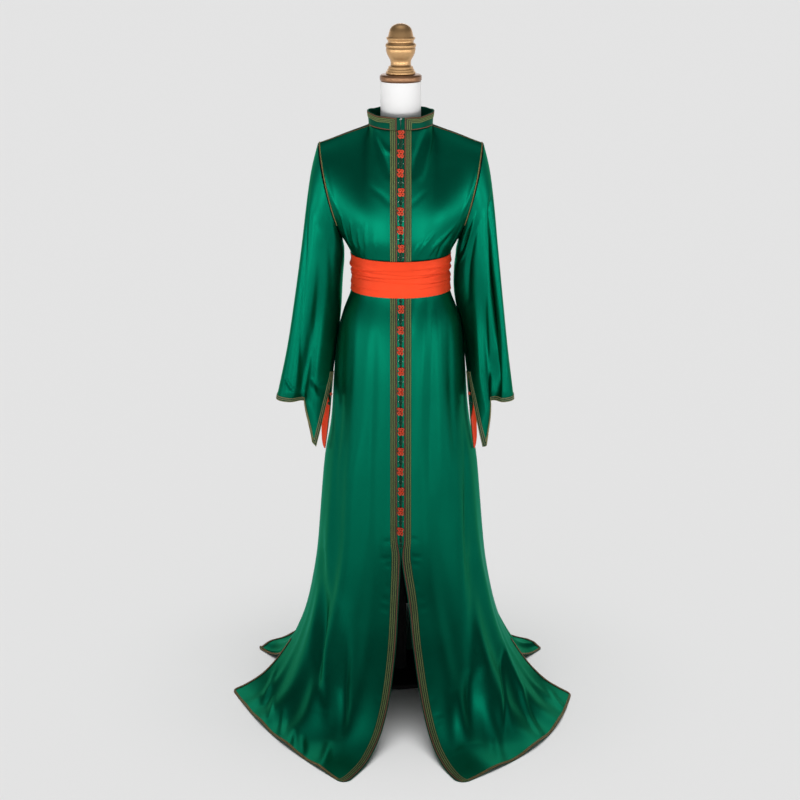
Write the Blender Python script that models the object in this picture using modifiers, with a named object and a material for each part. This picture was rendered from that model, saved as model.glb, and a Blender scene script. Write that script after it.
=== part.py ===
"""Moroccan kaftan on a limbless dress form.

Metres, +Z up, front towards -Y, wearer's left at +X. The origin is on the floor, under the form's axis.
Each cloth piece is a wall on a grid of points. A trim is a part of its panel's grid, moved out.
"""

import math

import bmesh
import bpy
from mathutils import Vector

# ---------------------------------------------------------------- driving sizes
CLOTH = 0.0012  # wall of the satin with its facing
GAP = 0.0003  # between pieces that touch
SEAM = 0.00025  # half the space at a side seam
BRAID, THIN_BRAID = 0.0010, 0.0007  # thickness of the front braid and of the edge braid
BELT_CLOTH = 0.0026  # the wrapped belt's layers

ARMPIT_Z = 1.130
KNEE_Z = 0.420  # the front opening starts here
SIDE_SLIT = 0.340  # share of the side seam's spread where the side slit starts

BRAID_INNER, BRAID_OUTER = 0.0092, 0.0250  # the front braid's two edges, from the centre
OPEN_INNER, OPEN_OUTER = 0.0010, 0.0215  # the same beside the opening
EDGE_NUDGES = (0.0004, 0.00012, 0.00012)  # how far a panel's first points are drawn aside at the closing
TRIM_NUDGE = 0.0008  # how far the hem's braid is drawn back from the front braid
EDGE_BAND = 0.0070  # thin braid on hems and slits
ARM_BAND = 0.0055  # thin braid along an armhole

# Sections of the cloth: height, half width, front depth, back depth
BODY = (
    (1.170, 0.147, 0.1270, 0.108),
    (1.130, 0.136, 0.1280, 0.104),
    (1.097, 0.1155, 0.1150, 0.090),
    (1.050, 0.1095, 0.1060, 0.082),
    (1.005, 0.1165, 0.1090, 0.090),
    (0.965, 0.1335, 0.1190, 0.104),
    (0.930, 0.1440, 0.1270, 0.115),
    (0.850, 0.1525, 0.1400, 0.131),
    (0.740, 0.1600, 0.1510, 0.147),
    (0.660, 0.1710, 0.1600, 0.159),
    (0.600, 0.1845, 0.1680, 0.172),
    (0.470, 0.1975, 0.1880, 0.194),
    (0.420, 0.2015, 0.2000, 0.205),
)
# Centre front of the bodice: height, distance in front of the axis
CHEST = ((1.397, 0.075), (1.330, 0.094), (1.260, 0.114), (1.200, 0.125), (1.130, 0.128))
# Centre back of the bodice: height, distance behind the axis
SPINE = ((1.406, 0.062), (1.340, 0.092), (1.260, 0.108), (1.190, 0.109), (1.130, 0.104))

# Fullness over the bust and the shoulder blades: height, share, half share, level, half level
BUST = (0.014, 0.48, 0.26, 0.66, 0.24)
BLADES = (0.008, 0.50, 0.28, 0.40, 0.28)

# Spread of the skirt on to the floor: share of the way out, height at each seam
FALL_FRONT = ((0, 0.420), (0.1, 0.325), (0.25, 0.203), (0.5, 0.070), (0.75, 0.012), (1, 0.0))
FALL_SIDE = (
    (0, 0.420), (0.034, 0.335), (0.074, 0.280), (0.124, 0.223), (0.191, 0.168), (0.241, 0.141),
    (0.297, 0.113), (0.340, 0.093), (0.600, 0.027), (0.800, 0.005), (1, 0.0),
)
FALL_BACK = ((0, 0.420), (0.12, 0.300), (0.3, 0.160), (0.55, 0.050), (0.8, 0.008), (1, 0.0))

FRONT_CORNER = {1: (0.133, -0.600), -1: (0.126, -0.600)}  # hem at the opening
FRONT_SIDE_CORNER = {1: (0.427, -0.135), -1: (0.423, -0.113)}  # hem at the side slit
OPENING_BEND = {1: 1.65, -1: 2.0}  # how late the opening's edge turns outwards
OPENING_REACH = 0.4  # share of the panel that turns with it
HEM_BOW = {1: 0.060, -1: 0.028}  # how far the front hem bows out
HEM_BOW_WAY = (0.86, -0.50)  # towards the side and the front
BACK_CORNER = (0.376, 0.140)
BACK_HEM = 0.455  # centre of the back hem, behind the axis
SPREAD_PACE = (1.25, 1.75)  # how late the rows reach out, at the centre and at the side seam
PARTING = 1.2  # how late the side slits part
HEM_LENGTH = 0.52  # the spread's length down the cloth

# Neck, shoulder and armhole
NECK_HALF, NECK_FRONT, NECK_BACK = 0.073, 0.075, 0.062
NECK_Z_FRONT, NECK_Z_SIDE, NECK_Z_BACK = 1.397, 1.402, 1.406
NECK_SHARE = 0.40  # share of a panel's top edge that is neckline
SHOULDER = Vector((0.193, 0.0, 1.357))
ARMPIT = Vector((0.136, 0.0, ARMPIT_Z))
ARMHOLE_FRONT, ARMHOLE_BACK = 0.058, 0.060
ARMHOLE_BOW = 0.008
COLLAR_HEIGHT, COLLAR_DIP = 0.032, 0.004  # and how much lower it is in front
COLLAR_RISES = (1, 0.58, 0.42, 0)  # its rows, from the top
COLLAR_WALL = 0.0017  # two layers with a stiff interlining
COLLAR_FOOT = 0.0009  # above the neck seam
COLLAR_SEAT, COLLAR_LEAN = 0.0006, 0.0020  # outside the neck seam at its foot, and further at its top
COLLAR_OPEN = 0.0008  # half the opening at the throat
HOOK_RADIUS, HOOK_LENGTH, HOOK_RISE = 0.0028, 0.0090, 0.0260  # the hook, and its height above the seam
# Belt: height of a row, how far its pleats stand out at the sides
BELT_CLEAR = 0.0010  # over the front braid
BELT_ROWS = ((1.0965, 0.0), (1.0750, 0.0022), (1.0580, 0.0006), (1.0410, 0.0024), (1.0080, 0.0))

# Folds of the skirt: share of the panel's width, half width of the ridge, height, level where it starts
FRONT_FOLDS = {
    -1: (
        (0.17, 0.07, 0.010, 1.7), (0.41, 0.08, 0.016, 1.3),
        (0.64, 0.09, 0.013, 1.5), (0.82, 0.05, 0.006, 2.0),
    ),
    1: (
        (0.18, 0.08, 0.012, 1.6), (0.46, 0.10, 0.016, 1.3),
        (0.70, 0.08, 0.013, 1.5), (0.86, 0.04, 0.006, 2.0),
    ),
}
BACK_FOLDS = (
    (-0.74, 0.09, 0.012, 1.5), (-0.50, 0.10, 0.018, 1.2), (-0.19, 0.09, 0.014, 1.3),
    (0.10, 0.10, 0.018, 1.1), (0.42, 0.09, 0.014, 1.4), (0.72, 0.10, 0.014, 1.3),
)

FOLD_SETTLE = 0.45  # share of a fold's height that is lost on the floor
FOLDS_END = (0.80, 0.93)  # shares over which they flatten towards the side seam

# Grids: rows of the bodice and of the spread, the body's row heights, and columns
SHOULDER_SEAM = 0.0008  # level of a panel's first row
BODICE_ROWS, SPREAD_ROWS = 7, 10
BODY_HEIGHTS = (
    1.130, 1.112, 1.097, 1.075, 1.050, 1.027, 1.005, 0.970, 0.925, 0.870, 0.800, 0.710, 0.610, 0.510,
)
FRONT_COLUMNS, BACK_COLUMNS = 9, 8  # columns between the bands, and columns of half a back

# Sleeve: share of its length, outer x, outer height, inner x, inner height, half depth, outer y, inner y
SLEEVE = (
    (0.00, 0.1930, 1.357, 0.1360, 1.130, 0.0590, 0.000, 0.000),
    (0.10, 0.2090, 1.300, 0.1330, 1.098, 0.0600, -0.001, 0.010),
    (0.22, 0.2215, 1.224, 0.1310, 1.060, 0.0580, -0.004, 0.022),
    (0.40, 0.2370, 1.102, 0.1340, 0.990, 0.0540, -0.012, 0.032),
    (0.60, 0.2550, 0.980, 0.1500, 0.905, 0.0490, -0.022, 0.030),
    (0.80, 0.2750, 0.860, 0.1665, 0.815, 0.0450, -0.034, 0.004),
    (1.00, 0.3000, 0.745, 0.1790, 0.735, 0.0440, -0.046, -0.034),
)
INNER_EASE = {1: 0.0, -1: 0.010}  # how much further the sleeve's inner edge hangs from the body
SLIT_ANGLE = 160.0  # degrees from the outer side, round the front
SLIT_TOP = 0.85  # share of the sleeve's length
SLEEVE_ANGLES = (
    160, 153, 138, 122, 108, 97, 88, 78, 64, 46, 26, 4, -20, -45, -70, -95, -120, -145, -167, -190, -200,
)
SLEEVE_SHARES = (
    0, 0.05, 0.11, 0.18, 0.26, 0.35, 0.44, 0.53, 0.62, 0.71, 0.79, 0.85, 0.90, 0.945, 0.982, 1,
)
FRONT_FLAP = Vector((0.024, -0.034, -0.098))  # how far each slit edge hangs beyond the cuff
BACK_FLAP = Vector((0.008, 0.004, -0.098))
BACK_FLAP_TURN = 36.0  # degrees that its edge opens towards the back
FRONT_FLAP_SPREAD, BACK_FLAP_SPREAD = 72.0, 62.0  # degrees round the cuff
SLEEVE_FOLD = (86.0, 15.0, 0.020, 0.25)  # angle, half width, depth, share where it starts
SLEEVE_TRIM = {1: 0.84, -1: 1.0}  # the left sleeve hangs a little closer
SLEEVE_CLEAR = (0.0009, 0.0030)  # outside the armhole's braid, at the shoulder and at the armpit
SLIT_NUDGE = (0.0006, 0.0012)  # how far the slit's front and back edges stand apart
CUFF_KNOT = (0.0048, 0.0050)  # radius and height

# Closing knots: first height, pitch, count
UPPER_KNOTS = (1.388, 0.0428, 7)
LOWER_KNOTS = (0.9825, 0.0480, 12)
CHAIN_UPPER, CHAIN_LOWER = (1.3955, 1.1020), (1.0030, 0.4270)
KNOT_RADIUS, KNOT_HEIGHT = 0.0088, 0.0042
KNOT_SHAPE = (0.86, 1.08)  # across and down, as shares of the radius
LOBES = 0.16  # how far its four lobes stand out
CHAIN_HALF, CHAIN_HEIGHT, CHAIN_GAP = 0.0030, 0.0006, 0.0004
GREEN_HALF, GREEN_HEIGHT, GREEN_WAIST = 0.0074, 0.0040, 0.55
ORANGE_HALF = 0.0098  # half the chain's length under an orange knot

# Dress form: height, half width, front depth, back depth
FORM = (
    (0.7800, 0.118, 0.098, 0.098),
    (0.7860, 0.128, 0.108, 0.108),
    (0.8500, 0.135, 0.118, 0.114),
    (0.9300, 0.121, 0.104, 0.097),
    (1.0000, 0.101, 0.091, 0.077),
    (1.0500, 0.095, 0.087, 0.070),
    (1.1000, 0.101, 0.092, 0.076),
    (1.1500, 0.114, 0.106, 0.084),
    (1.2000, 0.129, 0.110, 0.088),
    (1.2600, 0.143, 0.092, 0.086),
    (1.3100, 0.156, 0.066, 0.070),
)
# Its shoulders: height, depth, and how far the section runs to a point at the sides (1 is an ellipse)
SHOULDERS = (
    (1.3430, 0.0470, 1.25), (1.3650, 0.0400, 1.7), (1.3730, 0.0390, 2.0), (1.3830, 0.0400, 2.2),
    (1.3920, 0.0420, 2.3), (1.3975, 0.0440, 2.6), (1.4080, 0.0474, 1.1),
)
FORM_SHOULDER = 0.162  # its greatest half width there
RIDGE_CLEAR = 0.0009  # under the cloth, along the shoulders
NECK_RADIUS, NECK_TOP = 0.0475, 1.5015
DISC_RADIUS, DISC_HEIGHT, DISC_BEVEL = 0.0490, 0.0160, 0.0035
# Finial: height above the disc, radius
FINIAL = (
    (0.1163, 0.0000), (0.1150, 0.0100), (0.1090, 0.0208), (0.1038, 0.0247), (0.0933, 0.0279),
    (0.0861, 0.0296), (0.0845, 0.0330), (0.0819, 0.0336), (0.0795, 0.0322), (0.0775, 0.0304),
    (0.0730, 0.0303), (0.0700, 0.0340), (0.0661, 0.0357), (0.0625, 0.0348), (0.0612, 0.0337),
    (0.0598, 0.0345), (0.0531, 0.0340), (0.0463, 0.0320), (0.0390, 0.0283), (0.0325, 0.0246),
    (0.0246, 0.0237), (0.0200, 0.0241), (0.0178, 0.0285), (0.0130, 0.0290), (0.0122, 0.0308),
    (0.0075, 0.0315), (0.0068, 0.0340), (0.0010, 0.0345), (0.0000, 0.0338),
)
POLE_RADIUS = 0.0140
BASE_RADIUS, BASE_HEIGHT, BASE_BEVEL = 0.1100, 0.0120, 0.0020


# ---------------------------------------------------------------- scene and materials
def clear_scene():
    """Remove whatever the file opened with."""
    for old in list(bpy.data.objects):
        bpy.data.objects.remove(old, do_unlink=True)


def material(name, colour, roughness, metallic=0.0):
    """A plain material for one of the real finishes."""
    made = bpy.data.materials.new(name)
    made.use_nodes = True
    shader = made.node_tree.nodes["Principled BSDF"]
    shader.inputs["Base Color"].default_value = (*colour, 1)
    shader.inputs["Roughness"].default_value = roughness
    shader.inputs["Metallic"].default_value = metallic
    return made


clear_scene()
KAFTAN = bpy.data.collections.new("kaftan_on_form")
bpy.context.scene.collection.children.link(KAFTAN)

SATIN = material("green_satin", (0.005, 0.17, 0.075), 0.32)
BELT_SATIN = material("orange_satin", (0.80, 0.09, 0.03), 0.42)
GOLD_BRAID = material("gold_braid", (0.22, 0.13, 0.02), 0.50)
ORANGE_KNOT = material("orange_passementerie", (0.75, 0.10, 0.03), 0.60)
GREEN_KNOT = material("green_passementerie", (0.01, 0.16, 0.07), 0.60)
SILVER = material("silver_hook", (0.75, 0.75, 0.72), 0.30, 1.0)
LINEN = material("white_form_cloth", (0.78, 0.77, 0.76), 0.85)
DARK_DISC = material("bronze_disc", (0.11, 0.055, 0.03), 0.45, 0.6)
GILT = material("gilt_finial", (0.45, 0.28, 0.10), 0.38, 0.9)
STAND = material("black_stand", (0.02, 0.02, 0.02), 0.50, 0.5)


# ---------------------------------------------------------------- numbers
def smooth(rows, key, column=1):
    """One column's value at a key, on a smooth curve through the table's rows."""
    if rows[0][0] > rows[-1][0]:
        rows = rows[::-1]
    keys = [row[0] for row in rows]
    values = [row[column] for row in rows]
    last = len(rows) - 2
    at = 0
    while at < last and keys[at + 1] < key:
        at += 1

    def slope(index):
        low, high = max(index - 1, 0), min(index + 1, last + 1)
        return (values[high] - values[low]) / (keys[high] - keys[low])

    step = keys[at + 1] - keys[at]
    t = min(max((key - keys[at]) / step, 0), 1)
    rise = values[at + 1] - values[at]
    start, end = slope(at) * step, slope(at + 1) * step
    return values[at] + t * (start + t * ((3 * rise - 2 * start - end) + t * (start + end - 2 * rise)))


def mix(low, high, share):
    """Straight blend of two numbers or vectors."""
    return low + (high - low) * share


def ramp(value, start, end):
    """0 before start, 1 after end, smooth between."""
    share = min(max((value - start) / (end - start), 0), 1)
    return share * share * (3 - 2 * share)


def bump(value, middle, half_width):
    """A soft ridge of height 1."""
    return math.exp(-(((value - middle) / half_width) ** 2))


# ---------------------------------------------------------------- the cloth's inner faces
def armhole(side, turn, face):
    """The armhole, from the shoulder (turn 0) to the armpit (turn 1). face is -1 in front, 1 behind."""
    angle = math.pi * turn
    depth = ARMHOLE_FRONT if face < 0 else ARMHOLE_BACK
    point = mix(SHOULDER, ARMPIT, (1 - math.cos(angle)) / 2)
    point.x += ARMHOLE_BOW * math.sin(angle) ** 2
    point.y = face * depth * math.sin(angle)
    point.x *= side
    return point


def neckline(side, turn, face):
    """The neck seam, from the centre (turn 0) to the shoulder seam (turn 1)."""
    angle = math.pi / 2 * turn
    depth, middle = (NECK_FRONT, NECK_Z_FRONT) if face < 0 else (NECK_BACK, NECK_Z_BACK)
    height = mix(middle, NECK_Z_SIDE, math.sin(angle) ** 2)
    return Vector((side * NECK_HALF * math.sin(angle), face * depth * math.cos(angle), height))


def section(side, share, height, face):
    """A level section of the body, from the centre (share 0) to the side seam (share 1)."""
    angle = math.pi / 2 * share
    depth = smooth(BODY, height, 2 if face < 0 else 3)
    half = smooth(BODY, height)
    return Vector((side * half * math.sin(angle), face * depth * math.cos(angle), height))


def bodice(side, share, level, face):
    """A patch between the centre line, the armhole, the top seams and the armpit's section."""
    angle = math.pi / 2 * share

    def rounded(inner, outer):
        """A blend across the panel that leaves the centre line squarely, as an ellipse does."""
        x = mix(inner.x, outer.x, math.sin(angle))
        y = mix(inner.y, outer.y, 1 - math.cos(angle))
        return Vector((x, y, mix(inner.z, outer.z, share)))

    def top(at):
        if at < NECK_SHARE:
            return neckline(side, at / NECK_SHARE, face)
        return mix(neckline(side, 1, face), armhole(side, 0, face), (at - NECK_SHARE) / (1 - NECK_SHARE))

    def middle(at):
        line = CHEST if face < 0 else SPINE
        height = mix(line[0][0], line[-1][0], at)
        return Vector((0, face * smooth(line, height), height))

    def bottom(at):
        return section(side, at, ARMPIT_Z, face)

    across = rounded(middle(level), armhole(side, level, face))
    down = mix(top(share), bottom(share), level)
    corners = mix(rounded(top(0), top(1)), rounded(bottom(0), bottom(1)), level)
    point = across + down - corners
    if face < 0:
        tall, middle_share, half_share, middle_level, half_level = BUST
        tall *= ramp(share, 0.08, 0.4)
    else:
        tall, middle_share, half_share, middle_level, half_level = BLADES
    point.y += face * tall * bump(share, middle_share, half_share) * bump(level, middle_level, half_level)
    return point


def spread(side, share, level, face):
    """The skirt from the knee's section out to the hem on the floor. level runs from 0 to 1."""
    start = section(side, share, KNEE_Z, face)
    out = level ** mix(*SPREAD_PACE, share)
    if face < 0:
        inner, outer = FRONT_CORNER[side], FRONT_SIDE_CORNER[side]
        bow = HEM_BOW[side] * math.sin(math.pi * share)
        end_x = mix(inner[0], outer[0], share) + bow * HEM_BOW_WAY[0]
        end_y = mix(inner[1], outer[1], share) + bow * HEM_BOW_WAY[1]
        fall = FALL_FRONT
        x_share = out ** mix(OPENING_BEND[side], 1, min(1, share / OPENING_REACH))
    else:
        sine = math.sin(math.pi / 2 * share)
        end_x = BACK_CORNER[0] * sine
        end_y = mix(BACK_HEM, BACK_CORNER[1], sine**PARTING)
        fall = FALL_BACK
        x_share = out
    parted = max(0, (out - SIDE_SLIT) / (1 - SIDE_SLIT)) ** PARTING
    y_share = mix(out, parted, share**3)
    x = mix(abs(start.x), end_x, x_share)
    y = mix(start.y, end_y, y_share)
    height = mix(smooth(fall, out), smooth(FALL_SIDE, out), share**1.5)
    return Vector((side * x, y, max(height, 0)))


def bare(side, share, level, face):
    """Cloth without folds: level 0 to 1 is the bodice, 1 to 2 the body, 2 to 3 the spread."""
    if level <= 1:
        return bodice(side, share, level, face)
    if level <= 2:
        return section(side, share, mix(ARMPIT_Z, KNEE_Z, level - 1), face)
    return spread(side, share, level - 2, face)


def folds(side, share, level, face):
    """How far the skirt's ridges stand out at a point."""
    rows = FRONT_FOLDS[side] if face < 0 else BACK_FOLDS
    at = share if face < 0 else side * share
    height = 0
    for middle, half, tall, start in rows:
        height += tall * bump(at, middle, half) * ramp(level, start, start + 1.0)
    settle = 1 - FOLD_SETTLE * ramp(level, 2.55, 3)
    beside_edge = ramp(share, 0, 0.08) if face < 0 else 1
    return height * settle * (1 - ramp(share, *FOLDS_END)) * beside_edge


def outward(side, share, level, face):
    """The unit normal of the bare cloth, away from the wearer."""
    step = 0.002
    low, high = max(share - step, 0), min(share + step, 1)
    up, down = max(level - step, 0), min(level + step, 3)
    across = bare(side, high, level, face) - bare(side, low, level, face)
    along = bare(side, share, down, face) - bare(side, share, up, face)
    normal = along.cross(across) * (-side * face)
    return normal.normalized()


def cloth(side, share, level, face):
    """A point of a body panel's inner face."""
    point = bare(side, share, level, face)
    tall = folds(side, share, level, face)
    if tall > 0:
        point += outward(side, share, level, face) * tall
    point.z = max(point.z, 0)
    return point


def sleeve_point(side, angle, share):
    """A point of a sleeve's inner face. angle is 0 outside, 90 in front, 180 inside."""
    hang = max(0, (share - SLIT_TOP) / (1 - SLIT_TOP))
    at_front = max(0, 1 - (SLIT_ANGLE - angle) / FRONT_FLAP_SPREAD)
    at_back = max(0, 1 - (angle - SLIT_ANGLE + 360) / BACK_FLAP_SPREAD)
    turn = math.radians(angle + BACK_FLAP_TURN * hang * at_back)
    outer = Vector((smooth(SLEEVE, share, 1), 0, smooth(SLEEVE, share, 2)))
    inner = Vector((smooth(SLEEVE, share, 3), 0, smooth(SLEEVE, share, 4)))
    inner.x += INNER_EASE[side] * bump(share, 0.35, 0.22)
    outer.y, inner.y = smooth(SLEEVE, share, 6), smooth(SLEEVE, share, 7)
    depth = smooth(SLEEVE, share, 5)
    point = mix(outer, inner, (1 - math.cos(turn)) / 2)
    point.x += ARMHOLE_BOW * math.sin(turn) ** 2 * (1 - ramp(share, 0, 0.4))
    point.y -= depth * math.sin(turn)
    middle, half, deep, start = SLEEVE_FOLD
    point.y += deep * bump(angle, middle, half) * ramp(share, start, 1.0)
    point.x = ARMPIT.x + (point.x - ARMPIT.x) * mix(1, SLEEVE_TRIM[side], share**1.3)
    point += FRONT_FLAP * (at_front * hang) + BACK_FLAP * (at_back * hang)
    point.x *= side
    away = 0.5 - 0.5 * math.cos(turn)  # 0 at the shoulder, 1 at the armpit
    clear = mix(*SLEEVE_CLEAR, away) * (1 - ramp(share, 0, 0.1))
    point.x += side * clear
    return point


# ---------------------------------------------------------------- grids
class Grid:
    """Rows and columns of points, with each point's normal. Every piece splits a cell the same way."""

    def __init__(self, points, flip, ring=False, slit_row=None):
        self.points = points
        self.flip = flip
        self.ring = ring
        self.slit_row = slit_row
        self.rows, self.columns = len(points), len(points[0])
        self.normals = self.find_normals()

    def joined(self, row):
        """Whether the last column is the first one again at this row."""
        return self.ring and (self.slit_row is None or row <= self.slit_row)

    def key(self, row, column):
        """The row and column that stand for a shared point."""
        if column == self.columns - 1 and self.joined(row):
            return row, 0
        return row, column

    def triangles(self, row, column):
        """The two triangles of one cell, facing out."""
        a, b = self.key(row, column), self.key(row, column + 1)
        c, d = self.key(row + 1, column + 1), self.key(row + 1, column)
        faces = ((a, d, c), (a, c, b))
        return [face[::-1] for face in faces] if self.flip else list(faces)

    def cells(self):
        return [(row, column) for row in range(self.rows - 1) for column in range(self.columns - 1)]

    def find_normals(self):
        total = {}
        for cell in self.cells():
            for face in self.triangles(*cell):
                a, b, c = (self.points[row][column] for row, column in face)
                normal = (b - a).cross(c - a).normalized()
                for key, here, one, two in zip(face, (a, b, c), (b, c, a), (c, a, b)):
                    weight = (one - here).angle(two - here, 0)
                    total[key] = total.get(key, Vector()) + normal * weight
        return {key: value.normalized() for key, value in total.items()}

    def lifted(self, row, column, height):
        key = self.key(row, column)
        return self.points[key[0]][key[1]] + self.normals[key] * height


def wall(name, grid, finish, thickness, cells=None, lift=0.0, inward=False, eased=()):
    """A piece made of some cells of a grid, moved out by lift and given a thickness.

    eased lists points that are drawn back along their row, to part two trims.
    """
    shape = bmesh.new()
    made = {}
    for cell in cells or grid.cells():
        for face in grid.triangles(*cell):
            for key in face:
                if key not in made:
                    point = grid.lifted(*key, lift)
                    if key in eased:
                        beside = grid.points[key[0]][key[1] + 1] - grid.points[key[0]][key[1]]
                        point += beside.normalized() * TRIM_NUDGE
                    made[key] = shape.verts.new(point)
            shape.faces.new([made[key] for key in face])
    mesh = bpy.data.meshes.new(name)
    shape.to_mesh(mesh)
    shape.free()
    mesh.materials.append(finish)
    mesh.shade_smooth()
    piece = bpy.data.objects.new(name, mesh)
    KAFTAN.objects.link(piece)
    thick = piece.modifiers.new("wall", "SOLIDIFY")
    thick.thickness = thickness
    thick.offset = -1 if inward else 1
    return piece


def row_width(side, level, face):
    """The length of a panel's row, centre to side seam."""
    steps = 16
    points = [bare(side, step / steps, level, face) for step in range(steps + 1)]
    return sum((b - a).length for a, b in zip(points, points[1:]))


def levels():
    """The levels of a body panel's rows, with a thin last row for the hem's braid."""
    hem_band = EDGE_BAND / HEM_LENGTH
    rows = [SHOULDER_SEAM]
    rows += [row / BODICE_ROWS for row in range(1, BODICE_ROWS)]
    rows += [1 + (ARMPIT_Z - height) / (ARMPIT_Z - KNEE_Z) for height in BODY_HEIGHTS]
    rows += [2 + row / SPREAD_ROWS for row in range(SPREAD_ROWS)]
    rows += [3 - hem_band, 3]
    return rows


def side_band(level):
    """The width of the thin braid at a panel's side edge."""
    return ARM_BAND if level <= 1 else EDGE_BAND


def braid_inner(level):
    """Where the front braid's inner edge runs, from the panel's edge."""
    return mix(BRAID_INNER, OPEN_INNER, ramp(level, 1.97, 2.06))


def braid_outer(level):
    """Where the front braid's outer edge runs, from the panel's edge."""
    return mix(BRAID_OUTER, OPEN_OUTER, ramp(level, 1.97, 2.06))


def front_grid(side):
    """A front panel: its edge, the braid's two edges, even columns, the side band, the seam."""
    grid = []
    for level in levels():
        width = row_width(side, level, -1)
        seam = 1 - SEAM / width
        band = 1 - side_band(level) / width
        shares = [0, braid_inner(level) / width, braid_outer(level) / width]
        shares += [mix(shares[2], band, step / FRONT_COLUMNS) for step in range(1, FRONT_COLUMNS)]
        shares += [band, seam]
        row = [cloth(side, share, level, -1) for share in shares]
        for point, pull in zip(row, EDGE_NUDGES):
            point.x += side * pull
        grid.append(row)
    return Grid(grid, flip=side < 0)


def back_grid():
    """The back panel, from the right side seam to the left one."""
    grid = []
    for level in levels():
        width = row_width(1, level, 1)
        seam = 1 - SEAM / width
        band = 1 - side_band(level) / width
        half = [mix(0, band, step / BACK_COLUMNS) for step in range(BACK_COLUMNS + 1)] + [seam]
        right = [cloth(-1, share, level, 1) for share in half[:0:-1]]
        left = [cloth(1, share, level, 1) for share in half]
        grid.append(right + left)
    return Grid(grid, flip=True)


def row_at(rows, level):
    """The first row at or below a level."""
    return next(index for index, value in enumerate(rows) if value >= level - 1e-9)


# ---------------------------------------------------------------- cloth pieces
ROWS = levels()
ARM_BRAID_ROW = row_at(ROWS, 0.57)  # the armhole's braid ends where the sleeve hides it
HEM_ROW = len(ROWS) - 2
SLIT_ROW = row_at(ROWS, 2 + SIDE_SLIT ** (1 / SPREAD_PACE[1]))
SIDE_NAME = {1: "left", -1: "right"}


def make_front(side):
    """A front panel with its front braid, its edge braid and its armhole braid."""
    name = SIDE_NAME[side]
    grid = front_grid(side)
    last = grid.columns - 2
    wall(f"front_{name}", grid, SATIN, CLOTH)
    lift = CLOTH + GAP
    front = [(row, 1) for row in range(grid.rows - 1)]
    wall(f"front_braid_{name}", grid, GOLD_BRAID, BRAID, front, lift)
    edge = [(HEM_ROW, column) for column in range(2, last + 1)]
    edge += [(row, last) for row in range(SLIT_ROW, HEM_ROW)]
    eased = [(row, 2) for row in (HEM_ROW, HEM_ROW + 1)]
    wall(f"hem_braid_{name}", grid, GOLD_BRAID, THIN_BRAID, edge, lift, eased=eased)
    arm = [(row, last) for row in range(ARM_BRAID_ROW)]
    wall(f"armhole_braid_{name}", grid, GOLD_BRAID, THIN_BRAID, arm, lift)
    return grid


def make_back():
    """The back panel with the braid on its hem and slits, and on each armhole."""
    grid = back_grid()
    last = grid.columns - 2
    wall("back", grid, SATIN, CLOTH)
    lift = CLOTH + GAP
    edge = [(HEM_ROW, column) for column in range(last + 1)]
    edge += [(row, column) for row in range(SLIT_ROW, HEM_ROW) for column in (0, last)]
    wall("hem_braid_back", grid, GOLD_BRAID, THIN_BRAID, edge, lift)
    for side, column in ((-1, 0), (1, last)):
        arm = [(row, column) for row in range(ARM_BRAID_ROW)]
        wall(f"armhole_braid_back_{SIDE_NAME[side]}", grid, GOLD_BRAID, THIN_BRAID, arm, lift)


def make_sleeve(side):
    """A sleeve, the braid round its cuff and slit, the facing that shows in the slit, and its knot."""
    name = SIDE_NAME[side]
    rows = [[sleeve_point(side, angle, share) for angle in SLEEVE_ANGLES] for share in SLEEVE_SHARES]
    slit_row = SLEEVE_SHARES.index(SLIT_TOP)
    for row in rows[slit_row + 1 :]:
        row[0].x += SLIT_NUDGE[0] * side
        row[-1].y += SLIT_NUDGE[1]
    grid = Grid(rows, flip=side < 0, ring=True, slit_row=slit_row)
    wall(f"sleeve_{name}", grid, SATIN, CLOTH)
    last_row, last = grid.rows - 2, grid.columns - 2
    cuff = [(last_row, column) for column in range(last + 1)]
    cuff += [(row, column) for row in range(slit_row - 1, last_row) for column in (0, last)]
    wall(f"cuff_braid_{name}", grid, GOLD_BRAID, BRAID, cuff, CLOTH + GAP)
    beside_slit = range(last - 2, last + 1)
    facing = [(row, column) for row in range(slit_row, last_row + 1) for column in beside_slit]
    wall(f"cuff_lining_{name}", grid, BELT_SATIN, BRAID, facing, -GAP, inward=True)
    return grid


def make_collar():
    """The stand collar, a little open at the throat, with the braid along its top and down its ends."""
    turns = 30
    rows = []
    for rise in COLLAR_RISES:
        row = []
        for step in range(turns + 1):
            angle = mix(-math.pi, math.pi, step / turns)  # 0 at the back
            sine, cosine = math.sin(angle), math.cos(angle)
            front = max(0, -cosine)
            half = NECK_HALF + COLLAR_SEAT + COLLAR_LEAN * rise
            depth = NECK_FRONT - COLLAR_DIP * rise if cosine < 0 else NECK_BACK
            base = mix(NECK_Z_SIDE, NECK_Z_FRONT if cosine < 0 else NECK_Z_BACK, cosine * cosine)
            height = base + COLLAR_FOOT + rise * (COLLAR_HEIGHT - COLLAR_DIP * front)
            row.append(Vector((half * sine, (depth + COLLAR_SEAT) * cosine, height)))
        row[0].x, row[-1].x = -COLLAR_OPEN, COLLAR_OPEN
        rows.append(row)
    grid = Grid(rows, flip=True)
    wall("collar", grid, SATIN, COLLAR_WALL)
    top = [(0, column) for column in range(turns)]
    ends = [(row, column) for row in (1, 2) for column in (0, turns - 1)]
    wall("collar_braid", grid, GOLD_BRAID, BRAID, top + ends, COLLAR_WALL + GAP)


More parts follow.
